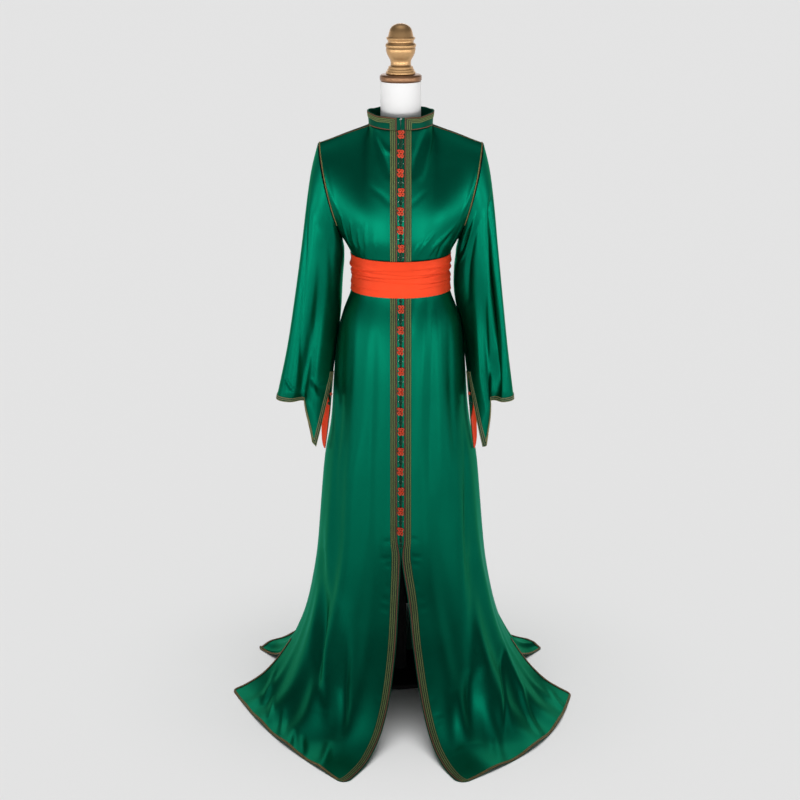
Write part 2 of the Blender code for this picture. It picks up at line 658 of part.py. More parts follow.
def make_belt():
    """The belt: a band round the waist, with soft lengthwise pleats at the sides."""
    turns = 40
    clear = CLOTH + GAP + BRAID + BELT_CLEAR
    rows = []
    for height, stand in BELT_ROWS:
        row = []
        for turn in range(turns + 1):
            angle = 2 * math.pi * turn / turns
            face = -1 if math.cos(angle) < 0 else 1
            depth = smooth(BODY, height, 2 if face < 0 else 3)
            half = smooth(BODY, height)
            pleat = stand * math.sin(angle) ** 2
            row.append(Vector((
                (half + clear + pleat) * math.sin(angle),
                (depth + clear + pleat) * math.cos(angle),
                height,
            )))
        rows.append(row)
    wall("belt", Grid(rows, flip=True, ring=True), BELT_SATIN, BELT_CLOTH)


# ---------------------------------------------------------------- knots
def closing_line(grid):
    """Places on the closing, just clear of the cloth, with the outward direction at each row."""
    line = []
    for row in range(grid.rows):
        normal = grid.normals[(row, 0)].copy()
        normal.x = 0
        point = grid.points[row][0] + normal.normalized() * (CLOTH + CHAIN_GAP)
        point.x = 0
        line.append((point, normal.normalized()))
    return line


def on_line(line, height):
    """The place, the outward direction and the way down on the closing at a height."""
    for (one, out_one), (two, out_two) in zip(line, line[1:]):
        if two.z <= height <= one.z:
            share = (one.z - height) / (one.z - two.z)
            out = mix(out_one, out_two, share).normalized()
            return mix(one, two, share), out, (two - one).normalized()
    raise ValueError(f"no closing at {height}")


def loft(name, sections, finish):
    """A closed solid through sections with equal numbers of points."""
    shape = bmesh.new()
    rings = [[shape.verts.new(point) for point in ring] for ring in sections]
    count = len(rings[0])
    for one, two in zip(rings, rings[1:]):
        for at in range(count):
            after = (at + 1) % count
            shape.faces.new((one[at], two[at], two[after], one[after]))
    shape.faces.new(rings[0])
    shape.faces.new(rings[-1][::-1])
    bmesh.ops.recalc_face_normals(shape, faces=shape.faces)
    mesh = bpy.data.meshes.new(name)
    shape.to_mesh(mesh)
    shape.free()
    mesh.materials.append(finish)
    mesh.shade_smooth()
    piece = bpy.data.objects.new(name, mesh)
    KAFTAN.objects.link(piece)
    return piece


def make_chain(name, line, span, oranges):
    """The green chain under and between the orange knots: low where they sit, full between them."""
    first, pitch, count = oranges
    top, bottom = span
    stations = [(top, 0)]
    for at in range(-1, count):
        high = min(first - at * pitch - ORANGE_HALF, top - 0.001)
        low = max(first - (at + 1) * pitch + ORANGE_HALF, bottom + 0.001)
        if high - low < 0.006:
            continue
        middle = (high + low) / 2
        stations += [(high, 0), (mix(high, middle, 0.35), 0.85), (mix(high, middle, 0.75), 1)]
        stations.append((middle, GREEN_WAIST))
        stations += [(mix(low, middle, 0.75), 1), (mix(low, middle, 0.35), 0.85), (low, 0)]
    stations.append((bottom, 0))
    for point, _ in line:
        for (high, full), (low, after) in list(zip(stations, stations[1:])):
            if low + 0.0005 < point.z < high - 0.0005:
                stations.append((point.z, mix(after, full, (point.z - low) / (high - low))))
        stations.sort(reverse=True)
    sections = []
    for height, full in stations:
        place, out, _ = on_line(line, height)
        half = mix(CHAIN_HALF, GREEN_HALF, full)
        tall = mix(CHAIN_HEIGHT, GREEN_HEIGHT, full)
        outline = ((-half, 0), (-0.75 * half, tall), (0.75 * half, tall), (half, 0))
        sections.append([place + Vector((x, 0, 0)) + out * lift for x, lift in outline])
    loft(name, sections, GREEN_KNOT)


def make_knot(name, place, out, down, radius, height, finish):
    """One knot group: a low cushion of four lobes."""
    turns = 12
    across = down.cross(out).normalized()
    rings = []
    for share, lift in ((1.0, 0.0), (1.04, 0.45), (0.72, 1.0)):
        ring = []
        for turn in range(turns):
            angle = 2 * math.pi * (turn + 0.5) / turns
            reach = radius * share * (1 + LOBES * math.cos(4 * angle + math.pi))
            point = place + across * (KNOT_SHAPE[0] * reach * math.cos(angle))
            point += down * (KNOT_SHAPE[1] * reach * math.sin(angle)) + out * (height * lift)
            ring.append(point)
        rings.append(ring)
    return loft(name, rings, finish)


def make_knots(grid):
    """The orange knots and the green chains down the front closing."""
    line = closing_line(grid)
    number = 0
    for first, pitch, count in (UPPER_KNOTS, LOWER_KNOTS):
        for at in range(count):
            number += 1
            height = first - at * pitch
            place, _, down = on_line(line, height)
            out = down.cross(Vector((1, 0, 0))).normalized()
            seat = place + out * (CHAIN_HEIGHT + GAP)
            make_knot(f"aakad_{number:02d}", seat, out, down, KNOT_RADIUS, KNOT_HEIGHT, ORANGE_KNOT)
    make_chain("knot_chain_upper", line, CHAIN_UPPER, UPPER_KNOTS)
    make_chain("knot_chain_lower", line, CHAIN_LOWER, LOWER_KNOTS)


def make_cuff_knot(side, grid):
    """The small knot that closes the top of a sleeve's slit."""
    row = SLEEVE_SHARES.index(SLIT_TOP) + 1
    point = grid.points[row][0]
    out = grid.normals[(row, 0)]
    down = (grid.points[row + 1][0] - grid.points[row - 1][0]).normalized()
    seat = point + out * (CLOTH + GAP + BRAID + GAP)
    make_knot(f"cuff_knot_{SIDE_NAME[side]}", seat, out, down, *CUFF_KNOT, GREEN_KNOT)


def make_hook():
    """The silver hook and eye at the throat, just above the first knot."""
    bpy.ops.mesh.primitive_cylinder_add(vertices=10, radius=HOOK_RADIUS, depth=HOOK_LENGTH)
    piece = bpy.context.object
    piece.name = "collar_hook"
    piece.rotation_euler.y = math.pi / 2
    rise = (HOOK_RISE - COLLAR_FOOT) / (COLLAR_HEIGHT - COLLAR_DIP)
    ahead = NECK_FRONT + COLLAR_SEAT - COLLAR_DIP * rise + COLLAR_WALL + GAP + BRAID + HOOK_RADIUS
    piece.location = (0, -ahead, NECK_Z_FRONT + HOOK_RISE)
    piece.data.materials.append(SILVER)
    piece.data.shade_smooth()
    move_to_kaftan(piece)


# ---------------------------------------------------------------- dress form
def move_to_kaftan(piece):
    for holder in list(piece.users_collection):
        holder.objects.unlink(piece)
    KAFTAN.objects.link(piece)


def turned(name, profile, finish, sides):
    """A turned solid. The profile runs down the outer side, from the axis to the axis."""
    shape = bmesh.new()
    points = [shape.verts.new((radius, 0, height)) for height, radius in profile]
    for one, two in zip(points, points[1:]):
        shape.edges.new((one, two))
    mesh = bpy.data.meshes.new(name)
    shape.to_mesh(mesh)
    shape.free()
    mesh.materials.append(finish)
    piece = bpy.data.objects.new(name, mesh)
    KAFTAN.objects.link(piece)
    lathe = piece.modifiers.new("lathe", "SCREW")
    lathe.steps = lathe.render_steps = sides
    lathe.use_merge_vertices = True
    lathe.merge_threshold = 0.00005
    lathe.use_smooth_shade = True
    return piece


def shoulder_half(height):
    """Half width of the form just under the cloth's shoulder seam."""
    slope = (NECK_Z_SIDE - SHOULDER.z) / (SHOULDER.x - NECK_HALF)
    return max(NECK_HALF + (NECK_Z_SIDE - RIDGE_CLEAR - height) / slope, NECK_RADIUS + 0.002)


def make_torso():
    """Torso and neck in one smooth piece: level sections from the flat underside to the neck's top."""
    sections = [(*row, 1.0) for row in FORM]
    for height, depth, pointed in SHOULDERS:
        half = min(FORM_SHOULDER, shoulder_half(height))
        sections.append((height, half, depth, depth, pointed))
    for height in (1.4200, 1.4600, NECK_TOP - GAP):
        sections.append((height, NECK_RADIUS, NECK_RADIUS, NECK_RADIUS, 1.0))
    turns = 28
    rings = []
    for height, half, front, back, pointed in sections:
        ring = []
        for turn in range(turns):
            angle = 2 * math.pi * turn / turns
            sine, cosine = math.sin(angle), math.cos(angle)
            depth = front if cosine < 0 else back
            x = math.copysign(half * abs(sine) ** pointed, sine)
            y = math.copysign(depth * abs(cosine) ** pointed, cosine)
            ring.append(Vector((x, y, height)))
        rings.append(ring)
    loft("form_torso", rings, LINEN)


def make_form():
    """The dress form: torso, neck disc, turned finial, pole and base."""
    make_torso()
    disc_base = NECK_TOP
    top = disc_base + DISC_HEIGHT
    bevel = DISC_BEVEL
    disc = (
        (top, 0), (top, DISC_RADIUS - bevel), (top - bevel, DISC_RADIUS),
        (disc_base + bevel, DISC_RADIUS), (disc_base, DISC_RADIUS - bevel), (disc_base, 0),
    )
    turned("form_neck_disc", disc, DARK_DISC, 28)
    seat = top + GAP
    finial = [(seat + height, radius) for height, radius in FINIAL] + [(seat, 0)]
    turned("form_finial", finial, GILT, 16)
    pole_top = FORM[0][0] - GAP
    pole_base = BASE_HEIGHT + GAP
    pole = ((pole_top, 0), (pole_top, POLE_RADIUS), (pole_base, POLE_RADIUS), (pole_base, 0))
    turned("form_pole", pole, STAND, 16)
    base = (
        (BASE_HEIGHT, 0), (BASE_HEIGHT, BASE_RADIUS - BASE_BEVEL),
        (BASE_HEIGHT - BASE_BEVEL, BASE_RADIUS), (0, BASE_RADIUS), (0, 0),
    )
    turned("form_base", base, STAND, 32)


def main():
    left_front = make_front(1)
    make_front(-1)
    make_back()
    for side in (1, -1):
        make_cuff_knot(side, make_sleeve(side))
    make_collar()
    make_belt()
    make_knots(left_front)
    make_hook()
    make_form()


main()
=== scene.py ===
"""A long Moroccan kaftan of green satin, closed down the front with knots, on a limbless dress form."""

import math

import bmesh
import bpy
import numpy as np
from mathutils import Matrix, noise


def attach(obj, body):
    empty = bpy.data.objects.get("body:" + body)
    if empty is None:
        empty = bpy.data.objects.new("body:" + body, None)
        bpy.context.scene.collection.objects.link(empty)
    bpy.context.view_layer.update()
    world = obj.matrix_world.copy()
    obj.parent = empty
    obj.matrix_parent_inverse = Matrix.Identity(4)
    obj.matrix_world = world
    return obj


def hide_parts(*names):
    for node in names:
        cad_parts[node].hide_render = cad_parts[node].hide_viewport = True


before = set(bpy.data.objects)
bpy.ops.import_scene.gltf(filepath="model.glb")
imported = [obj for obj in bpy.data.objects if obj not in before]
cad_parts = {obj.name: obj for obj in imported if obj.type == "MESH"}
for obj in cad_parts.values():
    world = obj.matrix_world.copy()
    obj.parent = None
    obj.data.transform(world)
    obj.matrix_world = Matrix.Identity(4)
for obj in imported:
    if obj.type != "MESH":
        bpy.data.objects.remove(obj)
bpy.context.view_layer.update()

# ---------------------------------------------------------------- studio
# A pale seamless floor with a lamp of its own, five low softboxes round the front of the form, and two
# soft lights on the hem and from behind. The camera stands half a metre above the collar, tilted down.
CAMERA_PLACE, CAMERA_TILT, LENS, FILM = (-0.0017, -4.2, 1.97), 16.5, 80.28, 36
FLOOR_REACH, FLOOR_GREY, BACKDROP_GREY = 60, 0.80, 0.776
FLOOR_LAMP_POWER, FLOOR_LAMP_ANGLE = 2.08, 50
# Room light: degrees above the horizon, brightness
ROOM = ((-90, 0.0), (-10, 0.50), (6, 0.55), (14, 0.15), (30, 0.07), (50, 0.09), (72, 0.24), (90, 0.46))
ROOM_STRENGTH = (2.15, 1.15)  # in front and behind, then at the sides
SIDES_FROM = 0.35  # how far sideways a direction points where the room begins to dim
# Softboxes: degrees round from straight ahead, power
SOFTBOXES = ((-72, 0.55), (-36, 0.92), (0, 0.92), (36, 0.92), (72, 0.55))
SOFTBOX_AWAY, SOFTBOX_HEIGHT, SOFTBOX_AIM = 2.7, 0.95, (0, 0, 1.36)
SOFTBOX_SIZE, SOFTBOX_SPREAD = (1.6, 0.5), 42
# The two soft lights: name, place, aim, size, power, spread in degrees
SOFT_LIGHTS = (
    ("softbox_hem", (0, -1.30, 2.7), (0, -0.75, 0.05), (2.6, 1.2), 1.1, 26),
    ("softbox_behind", (0, 3.2, 2.3), (0, -0.35, 0.05), (3.2, 1.8), 4.6, 70),
)


def in_scene(name, data):
    """A new object in the scene, at the origin."""
    made = bpy.data.objects.new(name, data)
    bpy.context.scene.collection.objects.link(made)
    return made


def add_node(tree, kind, inputs=(), **settings):
    """A new node in a tree. Each input is given a value, or the output that feeds it."""
    node = tree.nodes.new(kind)
    for name, value in settings.items():
        setattr(node, name, value)
    for key, value in dict(inputs).items():
        if isinstance(value, bpy.types.NodeSocket):
            tree.links.new(value, node.inputs[key])
        else:
            node.inputs[key].default_value = value
    return node


def plain_material(name, colour, roughness=0.5, metallic=0.0):
    """A material with its colour and gloss on the shader itself."""
    made = bpy.data.materials.new(name)
    made.use_nodes = True
    shader = made.node_tree.nodes["Principled BSDF"]
    shader.inputs["Base Color"].default_value = (*colour, 1)
    shader.inputs["Roughness"].default_value = roughness
    shader.inputs["Metallic"].default_value = metallic
    return made


camera = in_scene("camera", bpy.data.cameras.new("camera"))
camera.data.sensor_width = FILM
camera.data.lens = LENS
camera.data.clip_end = 200
camera.location = CAMERA_PLACE
camera.rotation_euler = (math.radians(90 - CAMERA_TILT), 0, 0)
bpy.context.scene.camera = camera
bpy.context.scene.view_settings.view_transform = "Standard"

floor_corners = [(x * FLOOR_REACH, y * FLOOR_REACH, 0) for x, y in ((-1, -1), (1, -1), (1, 1), (-1, 1))]
floor_mesh = bpy.data.meshes.new("studio_floor")
floor_mesh.from_pydata(floor_corners, [], [(0, 1, 2, 3)])
pale_floor = plain_material("pale_floor", (FLOOR_GREY,) * 3, 1.0)
pale_floor.node_tree.nodes["Principled BSDF"].inputs["Specular IOR Level"].default_value = 0
floor_mesh.materials.append(pale_floor)
studio_floor = in_scene("studio_floor", floor_mesh)

world = bpy.data.worlds.new("studio")
world.use_nodes = True
sky = world.node_tree
looking = add_node(sky, "ShaderNodeTexCoord")
split = add_node(sky, "ShaderNodeSeparateXYZ", {0: looking.outputs["Generated"]})
from_below = add_node(sky, "ShaderNodeMapRange", {"Value": split.outputs["Z"], "From Min": -1})
room = add_node(sky, "ShaderNodeValToRGB", {"Fac": from_below.outputs["Result"]})
while len(room.color_ramp.elements) < len(ROOM):
    room.color_ramp.elements.new(1.0)
for stop, (degrees, brightness) in zip(room.color_ramp.elements, ROOM):
    stop.position = 0.5 + 0.5 * math.sin(math.radians(degrees))
    stop.color = (brightness, brightness, brightness, 1)
sideways = add_node(sky, "ShaderNodeMath", {0: split.outputs["X"]}, operation="ABSOLUTE")
dimmer = add_node(sky, "ShaderNodeMapRange", {
    "Value": sideways.outputs[0], "From Min": SIDES_FROM, "From Max": 1.0,
    "To Min": ROOM_STRENGTH[0], "To Max": ROOM_STRENGTH[1],
})
room_light = sky.nodes["Background"]
sky.links.new(room.outputs["Color"], room_light.inputs["Color"])
sky.links.new(dimmer.outputs["Result"], room_light.inputs["Strength"])
backdrop = add_node(sky, "ShaderNodeBackground", {"Color": (*(BACKDROP_GREY,) * 3, 1)})
ray = add_node(sky, "ShaderNodeLightPath")
either = add_node(sky, "ShaderNodeMixShader", {
    "Fac": ray.outputs["Is Camera Ray"], 1: room_light.outputs[0], 2: backdrop.outputs[0],
})
sky.links.new(either.outputs[0], sky.nodes["World Output"].inputs["Surface"])
bpy.context.scene.world = world


def link_floor(lamp, state):
    """Light linking: the lamp reaches the floor alone, or everything but the floor."""
    reached = bpy.data.collections.new(lamp.name + "_floor")
    reached.objects.link(studio_floor)
    reached.collection_objects[0].light_linking.link_state = state
    lamp.light_linking.receiver_collection = reached


def soft_light(name, place, aim, size, power, spread):
    """A rectangular softbox that faces a point and leaves the floor out. A grid narrows its spread."""
    lamp = bpy.data.lights.new(name, "AREA")
    lamp.shape = "RECTANGLE"
    lamp.size, lamp.size_y = size
    lamp.energy = power
    lamp.spread = math.radians(spread)
    box = in_scene(name, lamp)
    box.location = place
    away = np.array(place) - np.array(aim)
    box.rotation_euler = (math.acos(away[2] / np.linalg.norm(away)), 0, math.atan2(away[0], -away[1]))
    box.visible_camera = False
    link_floor(box, "EXCLUDE")


overhead = bpy.data.lights.new("floor_lamp", "SUN")
overhead.energy = FLOOR_LAMP_POWER
overhead.angle = math.radians(FLOOR_LAMP_ANGLE)
link_floor(in_scene("floor_lamp", overhead), "INCLUDE")
for degrees, power in SOFTBOXES:
    around = math.radians(degrees)
    place = (SOFTBOX_AWAY * math.sin(around), -SOFTBOX_AWAY * math.cos(around), SOFTBOX_HEIGHT)
    name = f"softbox_{degrees - SOFTBOXES[0][0]:03d}"
    soft_light(name, place, SOFTBOX_AIM, SOFTBOX_SIZE, power, SOFTBOX_SPREAD)
for soft in SOFT_LIGHTS:
    soft_light(*soft)

# ---------------------------------------------------------------- front panels
# The two fronts are long panels of satin, cut from the shoulder to the floor with no waist seam. They
# meet edge to edge at the closing, flare below the knee and lie in soft corners on the floor.
SIDES = ((1, "left"), (-1, "right"))  # the wearer's sides
CLOTH = 0.0012  # outer face of the cloth, from its inner one
SHELL = 0.0010  # thickness of the satin shown there
SEAM = 0.00025  # how far a panel stops short of its side seam
ARMPIT_Z, KNEE_Z = 1.130, 0.420
SIDE_SLIT = 0.340  # share of the skirt's spread where the side opens

# Sections of the cloth: height, half width, front depth, back depth
BODY = (
    (1.170, 0.147, 0.1270, 0.108), (1.130, 0.136, 0.1280, 0.104), (1.097, 0.1155, 0.1150, 0.090),
    (1.050, 0.1095, 0.1060, 0.082), (1.005, 0.1165, 0.1090, 0.090), (0.965, 0.1335, 0.1190, 0.104),
    (0.930, 0.1440, 0.1270, 0.115), (0.850, 0.1525, 0.1400, 0.131), (0.740, 0.1600, 0.1510, 0.147),
    (0.660, 0.1710, 0.1600, 0.159), (0.600, 0.1845, 0.1680, 0.172), (0.470, 0.1975, 0.1880, 0.194),
    (0.420, 0.2015, 0.2000, 0.205),
)
# Centre lines of the bodice: height, distance from the axis
CHEST = ((1.397, 0.075), (1.330, 0.094), (1.260, 0.114), (1.200, 0.125), (1.130, 0.128))
SPINE = ((1.406, 0.062), (1.340, 0.092), (1.260, 0.108), (1.190, 0.109), (1.130, 0.104))
# Fullness: height, share, half share, level, half level
BUST = (0.014, 0.48, 0.26, 0.66, 0.24)
BLADES = (0.008, 0.50, 0.28, 0.40, 0.28)
UNDERARM = (0.005, 0.80, 0.17, 0.72, 0.20)
BUST_FROM, BUST_WHOLE = 0.08, 0.4  # shares of the front at which its fullness begins and is whole
# Spread of the skirt on to the floor: share of the way out, height
FALL_FRONT = ((0, 0.420), (0.1, 0.325), (0.25, 0.203), (0.5, 0.070), (0.75, 0.012), (1, 0.0))
FALL_SIDE = (
    (0, 0.420), (0.034, 0.335), (0.074, 0.280), (0.124, 0.223), (0.191, 0.168), (0.241, 0.141),
    (0.297, 0.113), (0.340, 0.093), (0.600, 0.027), (0.800, 0.005), (1, 0.0),
)
FALL_BACK = ((0, 0.420), (0.12, 0.300), (0.3, 0.160), (0.55, 0.050), (0.8, 0.008), (1, 0.0))
# Corners of the hem, by side: x, y
FRONT_CORNER = {1: (0.133, -0.600), -1: (0.126, -0.600)}
FRONT_SIDE_CORNER = {1: (0.427, -0.135), -1: (0.423, -0.113)}
BACK_CORNER, BACK_HEM = (0.376, 0.140), 0.455
OPENING_BEND = {1: 1.65, -1: 2.0}  # how late each front edge turns away from the closing
OPENING_REACH = 0.4  # share of the front that follows its edge
OPENING_EASE = {1: 0.0150, -1: 0.0030}  # how much sooner each front parts below the knots
EASE_WHOLE, EASE_FALLS, EASE_ENDS = 0.16, 0.30, 0.95  # shares of the way out
HEM_BOW = {1: 0.060, -1: 0.028}  # how far each front's hem bows out between its corners
HEM_BOW_WAY = (0.86, -0.50)
SPREAD_PACE, PARTING = (1.25, 1.75), 1.2  # how slowly the spread sets in, in the middle and at the side
NECK_HALF, NECK_FRONT, NECK_BACK = 0.073, 0.075, 0.062
NECK_Z_FRONT, NECK_Z_SIDE, NECK_Z_BACK = 1.397, 1.402, 1.406
NECK_SHARE = 0.40  # share of a panel's top that the neck takes
SHOULDER, ARMPIT = (0.193, 1.357), (0.136, 1.130)
ARMHOLE_FRONT, ARMHOLE_BACK, ARMHOLE_BOW = 0.058, 0.060, 0.008
# Large folds of the skirt: share of the width, half width, height, level where one starts
FRONT_FOLDS = {
    -1: (
        (0.17, 0.07, 0.010, 1.7), (0.41, 0.08, 0.016, 1.3),
        (0.64, 0.09, 0.013, 1.5), (0.82, 0.05, 0.006, 2.0),
    ),
    1: (
        (0.18, 0.08, 0.012, 1.6), (0.46, 0.10, 0.016, 1.3),
        (0.70, 0.08, 0.013, 1.5), (0.86, 0.04, 0.006, 2.0),
    ),
}
BACK_FOLDS = (
    (-0.74, 0.09, 0.012, 1.5), (-0.50, 0.10, 0.018, 1.2), (-0.19, 0.09, 0.014, 1.3),
    (0.10, 0.10, 0.018, 1.1), (0.42, 0.09, 0.014, 1.4), (0.72, 0.10, 0.014, 1.3),
)
FOLD_SETTLE, SETTLE_FROM = 0.45, 2.55  # how much the folds sink on the floor, and from which level
FOLDS_END = (0.80, 0.93)  # shares of the width between which they die away towards the side
EDGE_FLAT = 0.08  # share of a front, beside the closing, over which they rise


def curve_through(rows, key, column=1):
    """One column's values at keys, on a smooth curve through the table's rows."""
    rows = sorted(rows)
    keys = np.array([row[0] for row in rows])
    values = np.array([row[column] for row in rows])
    last = len(rows) - 2
    slopes = np.empty(len(rows))
    for at in range(len(rows)):
        low, high = max(at - 1, 0), min(at + 1, last + 1)
        slopes[at] = (values[high] - values[low]) / (keys[high] - keys[low])
    at = np.clip(np.searchsorted(keys[1:-1], key, side="left"), 0, last)
    step = keys[at + 1] - keys[at]
    t = np.clip((key - keys[at]) / step, 0, 1)
    rise = values[at + 1] - values[at]
    start, end = slopes[at] * step, slopes[at + 1] * step
    return values[at] + t * (start + t * ((3 * rise - 2 * start - end) + t * (start + end - 2 * rise)))


def mix(low, high, share):
    """The value at a share of the way from low to high."""
    return low + (high - low) * share


def ramp(value, start, end):
    """0 before start, 1 after end, smooth between."""
    share = np.clip((value - start) / (end - start), 0, 1)
    return share * share * (3 - 2 * share)


def bump(value, middle, half):
    """A soft ridge of height 1."""
    return np.exp(-(((value - middle) / half) ** 2))


def places(x, y, z):
    """Points from three arrays or numbers."""
    return np.stack(np.broadcast_arrays(x, y, z), -1).astype(float)


def armhole(side, turn, face):
    """The armhole, from the shoulder (turn 0) to the armpit (turn 1)."""
    angle = np.pi * turn
    down = (1 - np.cos(angle)) / 2
    depth = ARMHOLE_FRONT if face < 0 else ARMHOLE_BACK
    x = mix(SHOULDER[0], ARMPIT[0], down) + ARMHOLE_BOW * np.sin(angle) ** 2
    return places(side * x, face * depth * np.sin(angle), mix(SHOULDER[1], ARMPIT[1], down))


def neckline(side, turn, face):
    """The neck seam, from the centre (turn 0) to the shoulder seam (turn 1)."""
    angle = np.pi / 2 * turn
    depth, middle = (NECK_FRONT, NECK_Z_FRONT) if face < 0 else (NECK_BACK, NECK_Z_BACK)
    height = mix(middle, NECK_Z_SIDE, np.sin(angle) ** 2)
    return places(side * NECK_HALF * np.sin(angle), face * depth * np.cos(angle), height)


def section(side, share, height, face):
    """A level section of the body, from the centre (share 0) to the side seam (share 1)."""
    angle = np.pi / 2 * share
    depth = curve_through(BODY, height, 2 if face < 0 else 3)
    half = curve_through(BODY, height)
    return places(side * half * np.sin(angle), face * depth * np.cos(angle), height)


def bodice(side, share, level, face):
    """A patch between the centre line, the armhole, the top seams and the armpit's section."""
    angle = np.pi / 2 * share
    way = np.stack((np.sin(angle), 1 - np.cos(angle), share), -1)

    def top(at):
        beyond = np.clip((at - NECK_SHARE) / (1 - NECK_SHARE), 0, 1)[..., None]
        neck = neckline(side, np.minimum(at / NECK_SHARE, 1), face)
        return mix(neck, armhole(side, 0.0, face), beyond)

    line = CHEST if face < 0 else SPINE
    height = mix(line[0][0], line[-1][0], level)
    middle = places(0.0, face * curve_through(line, height), height)
    across = mix(middle, armhole(side, level, face), way)
    down = mix(top(share), section(side, share, ARMPIT_Z, face), level[..., None])
    top_row = mix(neckline(side, 0.0, face), armhole(side, 0.0, face), way)
    foot_row = mix(section(side, 0.0, ARMPIT_Z, face), section(side, 1.0, ARMPIT_Z, face), way)
    found = across + down - mix(top_row, foot_row, level[..., None])
    tall, share_middle, share_half, level_middle, level_half = BUST if face < 0 else BLADES
    full = tall * bump(share, share_middle, share_half) * bump(level, level_middle, level_half)
    found[..., 1] += face * full * (ramp(share, BUST_FROM, BUST_WHOLE) if face < 0 else 1)
    if face < 0:
        tall, share_middle, share_half, level_middle, level_half = UNDERARM
        found[..., 1] -= tall * bump(share, share_middle, share_half) * bump(level, level_middle, level_half)
    return found


def spread(side, share, level, face):
    """The skirt from the knee's section out to the hem on the floor."""
    start = section(side, share, KNEE_Z, face)
    out = level ** mix(*SPREAD_PACE, share)
    if face < 0:
        inner, outer = FRONT_CORNER[side], FRONT_SIDE_CORNER[side]
        bow = HEM_BOW[side] * np.sin(np.pi * share)
        end_x = mix(inner[0], outer[0], share) + bow * HEM_BOW_WAY[0]
        end_y = mix(inner[1], outer[1], share) + bow * HEM_BOW_WAY[1]
        x_share = out ** mix(OPENING_BEND[side], 1, np.minimum(1, share / OPENING_REACH))
        sooner = ramp(out, 0, EASE_WHOLE) * (1 - ramp(out, EASE_FALLS, EASE_ENDS))
        ease = OPENING_EASE[side] * sooner * (1 - ramp(share, 0, OPENING_REACH))
    else:
        sine = np.sin(np.pi / 2 * share)
        end_x = BACK_CORNER[0] * sine
        end_y = mix(BACK_HEM, BACK_CORNER[1], sine**PARTING)
        x_share, ease = out, 0
    parted = np.maximum(0, (out - SIDE_SLIT) / (1 - SIDE_SLIT)) ** PARTING
    x = mix(np.abs(start[..., 0]), end_x, x_share) + ease
    y = mix(start[..., 1], end_y, mix(out, parted, share**3))
    fall = curve_through(FALL_FRONT if face < 0 else FALL_BACK, out)
    return places(side * x, y, mix(fall, curve_through(FALL_SIDE, out), share**1.5))


def bare_cloth(side, share, level, face):
    """Cloth without folds: level 0 to 1 is the bodice, 1 to 2 the body, 2 to 3 the spread."""
    high = bodice(side, share, np.clip(level, 0, 1), face)
    height = mix(ARMPIT_Z, KNEE_Z, np.clip(level - 1, 0, 1))
    low = spread(side, share, np.clip(level - 2, 0, 1), face)
    found = np.where((level <= 2)[..., None], section(side, share, height, face), low)
    return np.where((level <= 1)[..., None], high, found)


def large_folds(side, share, level, face):
    """How far the skirt's ridges stand out."""
    rows = FRONT_FOLDS[side] if face < 0 else BACK_FOLDS
    at = share if face < 0 else side * share
    height = 0
    for middle, half, tall, start in rows:
        height = height + tall * bump(at, middle, half) * ramp(level, start, start + 1.0)
    settle = 1 - FOLD_SETTLE * ramp(level, SETTLE_FROM, 3)
    beside_edge = ramp(share, 0, EDGE_FLAT) if face < 0 else 1
    return height * settle * (1 - ramp(share, *FOLDS_END)) * beside_edge


def lengths(points, axis):
    """Running length along the rows (axis 0) or the columns (axis 1) of a grid of points."""
    steps = np.linalg.norm(np.diff(points, axis=axis), axis=-1)
    running = np.cumsum(steps, axis=axis)
    return np.insert(running, 0, 0, axis=axis)


def facing(points, turn):
    """Unit normals of a grid of points. turn is 1 where down crossed with across points out."""
    normal = np.cross(np.gradient(points, axis=0), np.gradient(points, axis=1)) * turn
    return normal / np.maximum(np.linalg.norm(normal, axis=-1, keepdims=True), 1e-12)


def eased(points, rounds):
    """The grid with kinks between its zones worn off, edges kept."""
    for _ in range(rounds):
        inner = (points[:-2] + points[2:]) / 2
        points = np.concatenate((points[:1], mix(points[1:-1], inner, 0.5), points[-1:]))
    return points


CREASE_END, CREASE_FADE = 0.15, 0.6  # how much of a crease is left at its ends, and how soon it is whole


def relief(rows, across, down):
    """Creases: height (valley if negative), half width, then places (across, down)."""
    total = np.zeros_like(across)
    for height, half, *path in rows:
        nearest = np.full_like(across, 1e9)
        along = np.zeros_like(across)
        run = 0
        spans = [math.dist(one, two) for one, two in zip(path, path[1:])]
        for one, two, span in zip(path, path[1:], spans):
            step = ((two[0] - one[0]) / span, (two[1] - one[1]) / span)
            t = np.clip((across - one[0]) * step[0] + (down - one[1]) * step[1], 0, span)
            away = (across - one[0] - t * step[0]) ** 2 + (down - one[1] - t * step[1]) ** 2
            closer = away < nearest
            nearest = np.where(closer, away, nearest)
            along = np.where(closer, run + t, along)
            run += span
        fade = np.sin(np.pi * np.clip(along / run, 0, 1)) ** CREASE_FADE
        total += height * np.exp(-nearest / half**2) * mix(CREASE_END, 1, fade)
    return total


def rounded_corner(points, radius, last=False):
    """The grid with its bottom corner rounded: the one in its first column, or in its last."""
    grid = points[::-1, ::-1] if last else points[::-1]
    from_edge, from_hem = lengths(grid, 1), lengths(grid, 0)
    u, v = np.clip(1 - from_edge / radius, 0, 1), np.clip(1 - from_hem / radius, 0, 1)
    shifts = (u - u * np.sqrt(1 - v * v / 2), v - v * np.sqrt(1 - u * u / 2))
    for way, shift in zip((np.gradient(grid, axis=1), np.gradient(grid, axis=0)), shifts):
        grid = grid + way / np.linalg.norm(way, axis=-1, keepdims=True) * (radius * shift)[..., None]
    return grid[::-1, ::-1] if last else grid[::-1]


